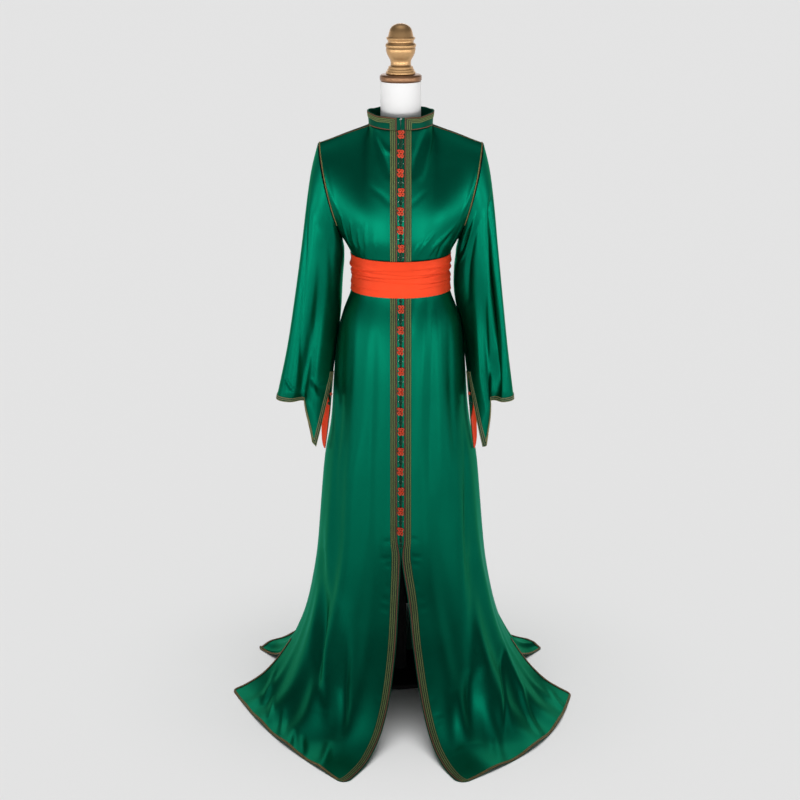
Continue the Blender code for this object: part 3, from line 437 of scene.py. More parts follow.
def mesh_object(name, vertices, faces, finish, flat=None):
    """A smooth mesh object at the origin, with the cloth's flat places as its UV map."""
    mesh = bpy.data.meshes.new(name)
    mesh.from_pydata([tuple(v) for v in vertices], [], faces)
    if flat is not None:
        layer = mesh.uv_layers.new(name="flat")
        corners = np.array([corner.vertex_index for corner in mesh.loops])
        layer.data.foreach_set("uv", np.asarray(flat)[corners].ravel())
    mesh.materials.append(finish)
    mesh.shade_smooth()
    return in_scene(name, mesh)


def shell(name, points, flat, flip, finish, thickness, closed_rows=0, outside=1):
    """A thin shell over a grid of points. In its closed rows, from the top, the last column is the first."""
    rows, columns = points.shape[:2]
    number = np.arange(rows * columns).reshape(rows, columns)
    if closed_rows:
        number[:closed_rows, -1] = number[:closed_rows, 0]
    quads = np.stack((number[:-1, :-1], number[1:, :-1], number[1:, 1:], number[:-1, 1:]), -1).reshape(-1, 4)
    if flip:
        quads = quads[:, ::-1]
    used, renumbered = np.unique(quads, return_inverse=True)
    faces = renumbered.reshape(-1, 4).tolist()
    flat = np.reshape(flat, (-1, 2))[used]
    made = mesh_object(name, points.reshape(-1, 3)[used], faces, finish, flat)
    wall = made.modifiers.new("wall", "SOLIDIFY")
    wall.thickness = thickness
    wall.offset = outside
    return made


THREAD_SHARE, THREAD_MEAN = 0.5, 0.75  # how much threads count beside clouds, and the mean of both
CLOUD_SCALE = 14.0
GLOSS_CHANGE, BUMP_STRENGTH = 0.12, 0.5


def weave_group():
    """Threads, slubs and soft unevenness of a woven or corded surface, from its flat places."""
    group = bpy.data.node_groups.new("woven_threads", "ShaderNodeTree")
    for name, kind, way in (
        ("Warp", "Float", "INPUT"), ("Weft", "Float", "INPUT"), ("Unevenness", "Float", "INPUT"),
        ("Colour", "Color", "INPUT"), ("Colour", "Color", "OUTPUT"), ("Gloss change", "Float", "OUTPUT"),
        ("Height", "Float", "OUTPUT"),
    ):
        group.interface.new_socket(name, in_out=way, socket_type="NodeSocket" + kind)
    given = add_node(group, "NodeGroupInput").outputs
    where = add_node(group, "ShaderNodeTexCoord").outputs
    scale = add_node(group, "ShaderNodeCombineXYZ", {"X": given["Warp"], "Y": given["Weft"]})
    stretched = add_node(group, "ShaderNodeVectorMath", {0: where["UV"], 1: scale.outputs[0]},
                         operation="MULTIPLY")
    threads = add_node(group, "ShaderNodeTexNoise",
                       {"Vector": stretched.outputs[0], "Scale": 1.0, "Detail": 2.0})
    clouds = add_node(group, "ShaderNodeTexNoise",
                      {"Vector": where["Object"], "Scale": CLOUD_SCALE, "Detail": 3.0})
    height = add_node(group, "ShaderNodeMath",
                      {0: threads.outputs["Fac"], 1: THREAD_SHARE, 2: clouds.outputs["Fac"]},
                      operation="MULTIPLY_ADD")
    centred = add_node(group, "ShaderNodeMath", {0: height.outputs[0], 1: THREAD_MEAN},
                       operation="SUBTRACT")
    change = add_node(group, "ShaderNodeMath", {0: centred.outputs[0], 1: given["Unevenness"], 2: 1.0},
                      operation="MULTIPLY_ADD")
    shade = add_node(group, "ShaderNodeVectorMath", {0: given["Colour"], "Scale": change.outputs[0]},
                     operation="SCALE")
    add_node(group, "NodeGroupOutput", {
        "Colour": shade.outputs[0], "Gloss change": centred.outputs[0], "Height": height.outputs[0],
    })
    return group


WOVEN = weave_group()


def cloth_material(name, colour, roughness, metallic, warp=900.0, weft=120.0, uneven=0.25, depth=0.00012,
                   tint=None, sheen=0.0):
    """A woven or corded finish. Its threads, from the flat places of the cloth, change colour and gloss."""
    made = plain_material(name, colour, roughness, metallic)
    tree = made.node_tree
    shader = tree.nodes["Principled BSDF"]
    threads = add_node(tree, "ShaderNodeGroup",
                       {"Warp": warp, "Weft": weft, "Unevenness": uneven, "Colour": (*colour, 1)},
                       node_tree=WOVEN)
    gloss = add_node(tree, "ShaderNodeMath",
                     {0: threads.outputs["Gloss change"], 1: GLOSS_CHANGE, 2: roughness},
                     operation="MULTIPLY_ADD")
    surface = add_node(tree, "ShaderNodeBump",
                       {"Height": threads.outputs["Height"], "Strength": BUMP_STRENGTH, "Distance": depth})
    tree.links.new(threads.outputs["Colour"], shader.inputs["Base Color"])
    tree.links.new(gloss.outputs[0], shader.inputs["Roughness"])
    tree.links.new(surface.outputs["Normal"], shader.inputs["Normal"])
    if tint:
        shader.inputs["Specular Tint"].default_value = (*tint, 1)
    if sheen:
        shader.inputs["Sheen Weight"].default_value = sheen
        shader.inputs["Sheen Tint"].default_value = (*(tint or colour), 1)
    return made


def fitted(made, slot, *nodes):
    """A finished piece: what it rides on, the CAD nodes that it stands for, and its finish's slot, which is
    not used.
    """
    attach(made, "root")
    if nodes:
        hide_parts(*nodes)
    return made


SATIN = cloth_material("green_satin", (0.0007, 0.140, 0.078), 0.37, 0.93, tint=(0.02, 0.8, 0.55))

TOP_LEVEL = 0.0008  # the cloth starts just below its shoulder seam
BODICE_ROWS, BODY_ROWS, SPREAD_ROWS = 56, 134, 104
LEVELS = np.concatenate((
    np.linspace(TOP_LEVEL, 1, BODICE_ROWS, endpoint=False),
    np.linspace(1, 2, BODY_ROWS, endpoint=False),
    np.linspace(2, 3, SPREAD_ROWS + 1),
))
FRONT_COLUMNS, BACK_COLUMNS = 88, 66
ROUNDS_DOWN, ROUNDS_ACROSS = 24, 60  # rounds of easing down each panel, and across the bodice
BODICE_EASED = (0.15, 0.9, 1.1)  # levels at which the easing across is whole, falls off and ends
HIP_EASE = {1: 0.002, -1: 0.006}  # how far each side of the hip is let out
HIP_Z, HIP_HALF = 0.78, 0.11
WAVE, WAVES_ACROSS, WAVES_DOWN = 0.0011, 19.0, 5.0
PUCKER_TALL, PUCKER_HALF, PUCKER_DROP = 0.0012, 0.0034, 0.004
PUCKER_FROM, PUCKER_TO = 0.023, 0.040  # distance from the closing
PUCKER_STRAY, REACH_STRAY = 0.3, 0.008  # how uneven their steps and their ends are
CORNER_ROUND, SIDE_ROUND = 0.030, 0.018  # roundness of the corners on the floor


def half_panel(side, face, columns):
    """One half of the body's cloth: bare points, shares, levels, widths and lengths down the cloth."""
    level = np.repeat(LEVELS[:, None], columns + 1, axis=1)
    share = np.repeat(np.linspace(0, 1, columns + 1)[None, :], len(LEVELS), axis=0)
    width = lengths(bare_cloth(side, share, level, face), 1)[:, -1:]
    share = share * (1 - SEAM / width)
    points = eased(bare_cloth(side, share, level, face), ROUNDS_DOWN)
    even = eased(points.swapaxes(0, 1), ROUNDS_ACROSS).swapaxes(0, 1)
    whole, falls, ends = BODICE_EASED
    points = mix(points, even, (ramp(level, 0, whole) * (1 - ramp(level, falls, ends)))[..., None])
    points[..., 0] += side * HIP_EASE[side] * bump(points[..., 2], HIP_Z, HIP_HALF) * ramp(share, 0.5, 1)
    down = lengths(points, 0)[:, columns // 2][:, None] + np.zeros_like(share)
    return points, share, level, share * width, down


def soft_waves(points):
    """The slight waviness of hung satin, drawn out lengthwise."""
    return np.array([
        WAVE * noise.noise((x * WAVES_ACROSS, y * WAVES_ACROSS, z * WAVES_DOWN))
        for x, y, z in points.reshape(-1, 3)
    ]).reshape(points.shape[:-1])


def puckers(first, last, count):
    """Small level puckers beside the braid, where its sewing draws the satin up."""
    rows = []
    for at in range(count):
        down = first + (last - first) * (at + PUCKER_STRAY * math.sin(at * 2.3)) / count
        reach = PUCKER_TO + REACH_STRAY * math.sin(at * 1.7)
        rows.append((PUCKER_TALL, PUCKER_HALF, (PUCKER_FROM, down), (reach, down + PUCKER_DROP)))
    return tuple(rows)


def measured(points, turn, across, down):
    """What the braid needs of a panel: its points, their normals and its flat places."""
    return {"points": points, "normals": facing(points, turn), "across": across, "down": down}


def on_floor(points, first_round):
    """The panel with its two corners rounded, and nothing of it below the floor."""
    points = rounded_corner(rounded_corner(points, first_round), SIDE_ROUND, last=True)
    points[..., 2] = np.maximum(points[..., 2], 0.0)
    return points


# Creases of each front: height, half width, then places (across from the closing, down from the shoulder)
FRONT_CREASES = {
    -1: (
        (-0.0040, 0.0080, (0.055, 0.005), (0.030, 0.075), (0.018, 0.120)),
        (0.0026, 0.0060, (0.052, 0.015), (0.032, 0.045), (0.014, 0.055)),
        (-0.0012, 0.0080, (0.062, 0.150), (0.034, 0.170), (0.014, 0.200)),
        (0.0018, 0.0060, (0.195, 0.085), (0.165, 0.170), (0.140, 0.225)),
        (0.0025, 0.0036, (0.145, 0.205), (0.150, 0.315)),
        (0.0024, 0.0036, (0.118, 0.225), (0.126, 0.320)),
        (0.0026, 0.0036, (0.099, 0.250), (0.108, 0.325)),
        (0.0022, 0.0040, (0.078, 0.240), (0.090, 0.320)),
        (0.0018, 0.0040, (0.058, 0.265), (0.066, 0.322)),
        (0.0022, 0.0050, (0.220, 0.480), (0.205, 0.640), (0.190, 0.790)),
        (0.0024, 0.0150, (0.100, 0.430), (0.125, 0.720), (0.138, 0.980)),
        (-0.0034, 0.0140, (0.160, 0.480), (0.172, 0.760), (0.185, 1.050)),
        (-0.0024, 0.0110, (0.062, 0.500), (0.072, 0.780), (0.078, 1.000)),
        (-0.0135, 0.0260, (0.238, 1.060), (0.226, 1.300), (0.186, 1.425)),
        (-0.0080, 0.0155, (0.143, 1.160), (0.137, 1.350), (0.098, 1.460)),
        (0.0038, 0.0170, (0.192, 1.120), (0.190, 1.340), (0.150, 1.450)),
        (0.0030, 0.0100, (0.325, 1.480), (0.272, 1.548)),
        (0.0026, 0.0090, (0.405, 1.480), (0.337, 1.545)),
        (0.0026, 0.0100, (0.205, 1.510), (0.163, 1.563)),
        (0.0032, 0.0110, (0.130, 1.480), (0.090, 1.556)),
        (-0.0028, 0.0090, (0.236, 1.500), (0.205, 1.556)),
        (0.0040, 0.0140, (0.480, 1.440), (0.420, 1.520)),
    ) + puckers(1.000, 1.370, 12),
    1: (
        (-0.0048, 0.0090, (0.055, 0.004), (0.032, 0.062), (0.017, 0.120)),
        (0.0024, 0.0080, (0.080, 0.012), (0.052, 0.070), (0.034, 0.130)),
        (-0.0008, 0.0060, (0.014, 0.202), (0.030, 0.181), (0.046, 0.160)),
        (0.0022, 0.0050, (0.195, 0.095), (0.172, 0.150), (0.145, 0.215)),
        (0.0026, 0.0040, (0.078, 0.258), (0.030, 0.321)),
        (0.0028, 0.0040, (0.136, 0.235), (0.097, 0.278), (0.062, 0.318)),
        (0.0026, 0.0040, (0.168, 0.230), (0.142, 0.325)),
        (0.0022, 0.0036, (0.052, 0.272), (0.024, 0.320)),
        (-0.0028, 0.0050, (0.126, 0.262), (0.092, 0.322)),
        (0.0022, 0.0060, (0.030, 0.415), (0.022, 0.505)),
        (0.0028, 0.0110, (0.057, 0.430), (0.048, 0.615), (0.041, 0.840)),
        (0.0024, 0.0130, (0.088, 0.430), (0.096, 0.670), (0.090, 0.930)),
        (-0.0026, 0.0090, (0.073, 0.440), (0.073, 0.660), (0.066, 0.880)),
        (-0.0022, 0.0120, (0.124, 0.480), (0.132, 0.760), (0.124, 1.020)),
        (-0.0032, 0.0100, (0.180, 0.740), (0.171, 1.000), (0.157, 1.170)),
        (-0.0115, 0.0235, (0.180, 1.060), (0.172, 1.320), (0.104, 1.490)),
        (-0.0050, 0.0085, (0.312, 1.330), (0.247, 1.430), (0.203, 1.505)),
        (0.0048, 0.0120, (0.318, 1.310), (0.346, 1.445), (0.298, 1.580)),
        (0.0042, 0.0135, (0.188, 1.390), (0.173, 1.503), (0.130, 1.585)),
        (0.0028, 0.0100, (0.510, 1.530), (0.461, 1.583)),
        (-0.0060, 0.0180, (0.092, 1.340), (0.062, 1.490)),
    ) + puckers(0.995, 1.440, 14),
}

FRONTS = {}
for side, name in SIDES:
    points, share, level, across, down = half_panel(side, -1, FRONT_COLUMNS)
    lift = large_folds(side, share, level, -1) + relief(FRONT_CREASES[side], across, down)
    lift = lift + soft_waves(points)
    points = on_floor(points + facing(points, side) * lift[..., None], CORNER_ROUND)
    panel = shell(f"satin_front_{name}", points, np.stack((across, down), -1), side < 0, SATIN, SHELL)
    fitted(panel, "green_satin", f"front_{name}")
    FRONTS[side] = measured(points, side, across, down)

# ---------------------------------------------------------------- back panel
# One wide panel with no centre seam, joined to the fronts at the sides down to the knee. Below that it
# is open and trails behind on the floor.
# Creases of the back: height, half width, then places (across from the middle, down from the shoulder)
BACK_CREASES = (
    (0.0022, 0.0080, (-0.160, 0.060), (-0.105, 0.190)),
    (-0.0022, 0.0080, (0.050, 0.050), (0.032, 0.170)),
    (0.0020, 0.0060, (0.150, 0.080), (0.120, 0.200)),
    (0.0018, 0.0045, (-0.130, 0.230), (-0.112, 0.325)),
    (0.0018, 0.0045, (-0.080, 0.250), (-0.072, 0.325)),
    (-0.0018, 0.0060, (-0.020, 0.245), (-0.018, 0.325)),
    (0.0016, 0.0045, (0.062, 0.255), (0.058, 0.325)),
    (0.0020, 0.0045, (0.118, 0.235), (0.104, 0.325)),
    (0.0030, 0.0130, (-0.118, 0.440), (-0.130, 0.700), (-0.150, 1.000)),
    (-0.0032, 0.0120, (-0.062, 0.450), (-0.064, 0.800), (-0.070, 1.100)),
    (0.0030, 0.0130, (0.030, 0.450), (0.034, 0.720), (0.040, 1.060)),
    (-0.0034, 0.0110, (0.100, 0.460), (0.122, 0.750), (0.140, 1.060)),
    (0.0024, 0.0100, (0.180, 0.500), (0.205, 0.800), (0.230, 1.060)),
    (-0.0110, 0.0180, (-0.270, 1.080), (-0.310, 1.300), (-0.340, 1.460)),
    (-0.0085, 0.0130, (-0.120, 1.160), (-0.130, 1.380), (-0.140, 1.510)),
    (0.0060, 0.0140, (-0.020, 1.200), (-0.010, 1.400), (0.000, 1.540)),
    (-0.0100, 0.0160, (0.190, 1.120), (0.215, 1.340), (0.240, 1.490)),
    (0.0050, 0.0120, (0.330, 1.280), (0.390, 1.500)),
    (0.0050, 0.0090, (-0.420, 1.360), (-0.480, 1.520)),
    (0.0045, 0.0080, (0.110, 1.480), (0.130, 1.570)),
)


def both_halves(right, left):
    """A grid from the right side seam to the left one. The halves share their middle column."""
    return np.concatenate((right[:, :0:-1], left), axis=1)


halves = []
for side in (-1, 1):
    points, share, level, across, down = half_panel(side, 1, BACK_COLUMNS)
    lift = large_folds(side, share, level, 1) + relief(BACK_CREASES, side * across, down)
    lift = lift + soft_waves(points)
    halves.append((points + facing(points, -side) * lift[..., None], side * across, down))
points, across, down = (both_halves(*grids) for grids in zip(*halves))
points = on_floor(points, SIDE_ROUND)
panel = shell("satin_back", points, np.stack((across, down), -1), True, SATIN, SHELL)
fitted(panel, "green_satin", "back")
BACK = measured(points, -1, across, down)

# ---------------------------------------------------------------- sleeves
# Long straight sleeves set into the armholes. Each is open for the last seventh of its length on the
# inner side, and the two corners of that slit hang down past the cuff.
# Share of the length, outer x, outer height, inner x, inner height, half depth, outer y, inner y
SLEEVE = (
    (0.00, 0.1930, 1.357, 0.1360, 1.130, 0.0590, 0.000, 0.000),
    (0.10, 0.2090, 1.300, 0.1330, 1.098, 0.0600, -0.001, 0.010),
    (0.22, 0.2215, 1.224, 0.1310, 1.060, 0.0580, -0.004, 0.022),
    (0.40, 0.2370, 1.102, 0.1340, 0.990, 0.0540, -0.012, 0.032),
    (0.60, 0.2550, 0.980, 0.1500, 0.905, 0.0490, -0.022, 0.030),
    (0.80, 0.2750, 0.860, 0.1655, 0.815, 0.0450, -0.034, 0.004),
    (1.00, 0.3000, 0.745, 0.1730, 0.735, 0.0440, -0.046, -0.034),
)
INNER_EASE = {1: 0.0, -1: 0.010}  # how far each sleeve's inner side swings out above the elbow
EASE_AT, EASE_HALF = 0.35, 0.22
SLIT_ANGLE, SLIT_TOP = 160.0, 0.85
FRONT_FLAP, BACK_FLAP = (0.031, -0.034, -0.102), (0.010, -0.026, -0.120)
FLAP_FULL = {1: 2.6, -1: 1.3}  # how soon the front flap reaches its full length
FLAP_BROAD, TONGUE_BROAD = 0.010, 0.008  # how far the flaps are flattened towards the front
BACK_FLAP_TURN = 36.0
FRONT_FLAP_SPREAD, BACK_FLAP_SPREAD = 66.0, 62.0
FLATTENED = 0.75  # the sleeve's round section, pressed flatter in front and behind
FLAT_FROM, FLAT_WHOLE = 0.02, 0.3
BOW_ENDS = 0.4  # share of the length at which the armhole's bow is gone
SLEEVE_FOLD = (86.0, 15.0, 0.020, 0.25)  # a broad fold: angle, half angle, depth, share where it starts
SLEEVE_TRIM, TRIM_PACE = {1: 0.84, -1: 1.0}, 1.3  # how wide each cuff is left, and how late it narrows
SLEEVE_CLEAR = (0.0009, 0.0030)  # how far the sleeve stands off, outside and inside
SLIT_NUDGE = (0.0006, 0.0012)  # how far the slit's two edges part
SLEEVE_ROWS, SLEEVE_COLUMNS = 150, 124
SLEEVE_WAVE = 0.45  # share of the body's waviness
SLEEVE_ROUND, SLEEVE_LONG = 0.050, 0.66  # mean radius and length, for the cloth's flat places
TURNED_OUT = 0.034  # how far in from the slit its front edge turns outwards
TURN_X, TURN_Y = -0.005, -0.007
HEM_TURN, HEM_TURN_FROM = 0.014, 0.93  # how far the front corner's hem curls under, and from where
HEM_TURN_AT, HEM_TURN_HALF = 0.050, 0.045
# Creases of each sleeve: height, half width, then places (across from the slit by way of the front, down)
SLEEVE_CREASES = {
    -1: (
        (-0.0034, 0.0065, (0.122, 0.110), (0.106, 0.240), (0.090, 0.440), (0.066, 0.625)),
        (0.0030, 0.0100, (0.085, 0.150), (0.072, 0.400), (0.044, 0.600)),
        (-0.0012, 0.0090, (0.050, 0.040), (0.040, 0.180), (0.030, 0.330)),
        (-0.0024, 0.0040, (0.112, 0.590), (0.088, 0.618), (0.066, 0.630)),
        (-0.0022, 0.0040, (0.052, 0.574), (0.032, 0.584), (0.010, 0.574)),
        (0.0018, 0.0040, (0.050, 0.590), (0.030, 0.600), (0.012, 0.592)),
        (-0.0055, 0.0090, (0.205, 0.130), (0.216, 0.360), (0.226, 0.610)),
        (0.0030, 0.0110, (0.255, 0.100), (0.262, 0.330), (0.272, 0.560)),
        (-0.0030, 0.0070, (0.290, 0.060), (0.280, 0.150)),
        (0.0042, 0.0200, (0.000, 0.280), (0.000, 0.620)),
        (0.0042, 0.0200, (0.314, 0.280), (0.314, 0.620)),
    ),
    1: (
        (-0.0300, 0.0120, (0.112, 0.130), (0.098, 0.365), (0.088, 0.502), (0.070, 0.650)),
        (0.0040, 0.0040, (0.094, 0.190), (0.080, 0.365), (0.070, 0.502), (0.056, 0.620)),
        (0.0050, 0.0150, (0.078, 0.120), (0.058, 0.350), (0.034, 0.590)),
        (0.0036, 0.0060, (0.057, 0.060), (0.034, 0.135), (0.014, 0.152)),
        (-0.0060, 0.0100, (0.038, 0.050), (0.018, 0.115)),
        (-0.0040, 0.0080, (0.060, 0.110), (0.044, 0.200), (0.036, 0.320)),
        (0.0024, 0.0060, (0.118, 0.330), (0.112, 0.600)),
        (-0.0060, 0.0090, (0.198, 0.110), (0.208, 0.330), (0.232, 0.620)),
        (0.0032, 0.0110, (0.248, 0.120), (0.256, 0.360), (0.262, 0.590)),
        (-0.0026, 0.0060, (0.292, 0.070), (0.276, 0.170)),
        (0.0052, 0.0200, (0.000, 0.130), (0.000, 0.360)),
        (0.0052, 0.0200, (0.314, 0.130), (0.314, 0.360)),
        (0.0030, 0.0200, (0.314, 0.440), (0.314, 0.600)),
    ),
}


def sleeve_cloth(side, angle, share):
    """Points of a sleeve's inner face. angle is 0 outside, 90 in front, 180 inside."""
    hang = np.maximum(0, (share - SLIT_TOP) / (1 - SLIT_TOP))
    at_front = np.maximum(0, 1 - (SLIT_ANGLE - angle) / FRONT_FLAP_SPREAD)
    at_back = np.maximum(0, 1 - (angle - SLIT_ANGLE + 360) / BACK_FLAP_SPREAD)
    broad = FLAP_BROAD * ramp(SLIT_ANGLE - angle, 0, 14) * at_front**0.5
    broad = broad + TONGUE_BROAD * np.sin(np.pi * at_back)
    turn = np.radians(angle + BACK_FLAP_TURN * hang * at_back)
    away = (1 - np.cos(turn)) / 2
    inner_x = curve_through(SLEEVE, share, 3) + INNER_EASE[side] * bump(share, EASE_AT, EASE_HALF)
    x = mix(curve_through(SLEEVE, share, 1), inner_x, away)
    y = mix(curve_through(SLEEVE, share, 6), curve_through(SLEEVE, share, 7), away)
    z = mix(curve_through(SLEEVE, share, 2), curve_through(SLEEVE, share, 4), away)
    sine = np.sin(turn)
    x = x + ARMHOLE_BOW * sine**2 * (1 - ramp(share, 0, BOW_ENDS))
    pressed = mix(1, FLATTENED, ramp(share, FLAT_FROM, FLAT_WHOLE))
    y = y - curve_through(SLEEVE, share, 5) * np.sign(sine) * np.abs(sine) ** pressed
    middle, half, deep, start = SLEEVE_FOLD
    y = y + deep * bump(angle, middle, half) * ramp(share, start, 1.0)
    x = ARMPIT[0] + (x - ARMPIT[0]) * mix(1, SLEEVE_TRIM[side], share**TRIM_PACE)
    x = x + hang * (FRONT_FLAP[0] * at_front + BACK_FLAP[0] * at_back + broad)
    y = y + hang * (FRONT_FLAP[1] * at_front + BACK_FLAP[1] * at_back)
    full, tongue = 1 - (1 - at_front) ** FLAP_FULL[side], np.sin(np.pi / 2 * at_back)
    found = places(x, y, z + hang * (FRONT_FLAP[2] * full + BACK_FLAP[2] * tongue))
    found[..., 0] += mix(*SLEEVE_CLEAR, away) * (1 - ramp(share, 0, 0.1))
    found[..., 0] *= side
    return found


SLEEVES = {}
slit_row = round(SLIT_TOP * SLEEVE_ROWS)
turns = np.linspace(SLIT_ANGLE, SLIT_ANGLE - 360, SLEEVE_COLUMNS + 1)
shares = np.linspace(0, 1, SLEEVE_ROWS + 1)
for side, name in SIDES:
    share, angle = np.meshgrid(shares, turns, indexing="ij")
    points = sleeve_cloth(side, angle, share)
    points[slit_row + 1 :, 0, 0] += SLIT_NUDGE[0] * side
    points[slit_row + 1 :, -1, 1] += SLIT_NUDGE[1]
    across, down = np.radians(SLIT_ANGLE - angle) * SLEEVE_ROUND, share * SLEEVE_LONG
    waves = SLEEVE_WAVE * soft_waves(points) * ramp(share, 0.05, 0.2)
    lift = relief(SLEEVE_CREASES[side], across, down) + waves
    points = points + facing(points, side) * lift[..., None]
    hang = np.clip((share - SLIT_TOP) / (1 - SLIT_TOP), 0, 1)
    edge = np.clip(1 - across / TURNED_OUT, 0, 1) ** 1.3 * hang**0.5
    fullest = np.sin(np.pi * (0.15 + 0.7 * hang))[..., None] ** 0.5
    points += edge[..., None] * (TURN_X * side, TURN_Y, 0) * fullest
    curled = ramp(share, HEM_TURN_FROM, 1.0) ** 2 * bump(across, HEM_TURN_AT, HEM_TURN_HALF)
    points[..., 1] += HEM_TURN * curled
    flat = np.stack((across, down), -1)
    sleeve = shell(f"satin_sleeve_{name}", points, flat, side < 0, SATIN, SHELL, slit_row + 1)
    fitted(sleeve, "green_satin", f"sleeve_{name}")
    SLEEVES[side] = measured(points, side, across, down)

# ---------------------------------------------------------------- edge braid
# Sfifa: narrow silk braid, made of twisted cords sewn side by side on a flat ribbon, laid along every
# edge. The cords are olive gold and rose brown: three and one down the fronts, one and two on the hems.
# The front band: its two edges from the closing, first where it is closed and then down the opening
BRAID_INNER, BRAID_OUTER = 0.0078, 0.0250
OPEN_INNER, OPEN_OUTER = 0.0010, 0.0215
OPENING_LEVELS = (1.97, 2.06)
EDGE_BAND, ARM_BAND = 0.0066, 0.0032  # width of the thin bands on the hems and the armholes
ARM_BRAID_END = 0.74  # level of the bodice at which the armhole's braid goes under the arm
BAND_GAP = 0.0004  # how far a thin band stops short of an edge or of the front band
RIBBON = 0.0006  # thickness of the ribbon
RIBBON_LIFT = CLOTH + 0.0001
CORD_LIFT = RIBBON_LIFT + RIBBON + 0.0002
SEAM_CORD_LIFT = CLOTH + 0.0002
RIBBON_LINES, LINES_APART = 7, 0.004  # lines of points across a front ribbon, and how far apart laid flat
HEM_POINTS = {"front": 240, "back": 520}  # places along the ribbon of a hem and its slits
# Places of the cords: shares of the band's width, from its edge
FRONT_CORDS, HEM_CORDS, ARM_GOLD, ARM_ROSE = (0.13, 0.38, 0.63, 0.88), (0.18, 0.52, 0.86), 0.72, 0.25
# Width of a cord, and the step from one of its turns to the next
FRONT_CORD, HEM_CORD, ARM_CORD = (0.0020, 0.0023), (0.0022, 0.0022), (0.0014, 0.0018)
CORD_TALL, SEAM_CORD_TALL = 0.0011, 0.0009
TURN_WIDTH, TURN_LENGTH, TURN_SLANT = 0.86, 1.75, math.radians(33)  # one turn, by the cord's width and step


def at_lengths(line, run, wanted):
    """Places on a line, each a point and its normal, at the wanted running lengths."""
    return np.stack([np.interp(wanted, run, line[:, k]) for k in range(6)], -1)


def beside(surface, edge, distance):
    """A line on the cloth at a distance from one of its edges: each row is a point and its normal."""
    grid = np.concatenate((surface["points"], surface["normals"]), -1)
    if edge == "hem":
        grid = grid[::-1].swapaxes(0, 1)
    elif edge == "last":
        grid = grid[:, ::-1]
    runs, distances = lengths(grid[..., :3], 1), np.broadcast_to(distance, len(grid))
    return np.array([at_lengths(*row) for row in zip(grid, runs, distances)])


def cut(line, start, end):
    """The line without its first and last stretch."""
    run = lengths(line[:, :3], 0)
    low, high = start, run[-1] - end
    return at_lengths(line, run, np.concatenate(([low], run[(run > low) & (run < high)], [high])))


def evenly(line, count):
    """The line as a set number of even places."""
    run = lengths(line[:, :3], 0)
    return at_lengths(line, run, np.linspace(0, run[-1], count))


def paced(line, step):
    """The line as even places, with the way it runs there: point, normal, direction."""
    run = lengths(line[:, :3], 0)
    count = max(round(run[-1] / step), 2)
    even = at_lengths(line, run, (np.arange(count) + 0.5) * run[-1] / count)
    way = np.gradient(even[:, :3], axis=0)
    out = even[:, 3:] / np.linalg.norm(even[:, 3:], axis=1, keepdims=True)
    return even[:, :3], out, way / np.linalg.norm(way, axis=1, keepdims=True)


def raised(line, height):
    """A line moved out from the cloth."""
    return np.concatenate((line[:, :3] + line[:, 3:] * height, line[:, 3:]), 1)


def placing_tree():
    """Geometry Nodes: a shape set on each place, its Z outwards and its Y along the line."""
    tree = bpy.data.node_groups.new("set_on_cloth", "GeometryNodeTree")
    for name, kind in (("Places", "Geometry"), ("Shape", "Object"), ("Size", "Vector"), ("Slant", "Float"),
                       ("Finish", "Material")):
        tree.interface.new_socket(name, in_out="INPUT", socket_type="NodeSocket" + kind)
    tree.interface.new_socket("Pieces", in_out="OUTPUT", socket_type="NodeSocketGeometry")
    given = add_node(tree, "NodeGroupInput").outputs
    turned_so_far = {}
    for attribute, axis, pivot in (("out", "Z", "AUTO"), ("way", "Y", "Z")):
        read = add_node(tree, "GeometryNodeInputNamedAttribute", {"Name": attribute},
                        data_type="FLOAT_VECTOR")
        turn = add_node(tree, "FunctionNodeAlignRotationToVector",
                        {"Vector": read.outputs["Attribute"], **turned_so_far}, axis=axis, pivot_axis=pivot)
        turned_so_far = {"Rotation": turn.outputs["Rotation"]}
    slant = add_node(tree, "FunctionNodeAxisAngleToRotation", {"Axis": (0, 0, 1), "Angle": given["Slant"]})
    slanted = add_node(tree, "FunctionNodeRotateRotation",
                       {**turned_so_far, "Rotate By": slant.outputs["Rotation"]}, rotation_space="LOCAL")
    shape = add_node(tree, "GeometryNodeObjectInfo", {"Object": given["Shape"]})
    put = add_node(tree, "GeometryNodeInstanceOnPoints", {
        "Points": given["Places"], "Instance": shape.outputs["Geometry"],
        "Rotation": slanted.outputs["Rotation"], "Scale": given["Size"],
    })
    real = add_node(tree, "GeometryNodeRealizeInstances", {"Geometry": put.outputs["Instances"]})
    finish = add_node(tree, "GeometryNodeSetMaterial",
                      {"Geometry": real.outputs["Geometry"], "Material": given["Finish"]})
    add_node(tree, "NodeGroupOutput", {"Pieces": finish.outputs["Geometry"]})
    return tree


PLACING = placing_tree()


def plain_mesh(made, name):
    """What an object's modifiers or bevel make of it, as a plain smooth mesh."""
    bpy.context.view_layer.update()
    plain = bpy.data.meshes.new_from_object(made.evaluated_get(bpy.context.evaluated_depsgraph_get()))
    plain.name = name
    plain.shade_smooth()
    return plain


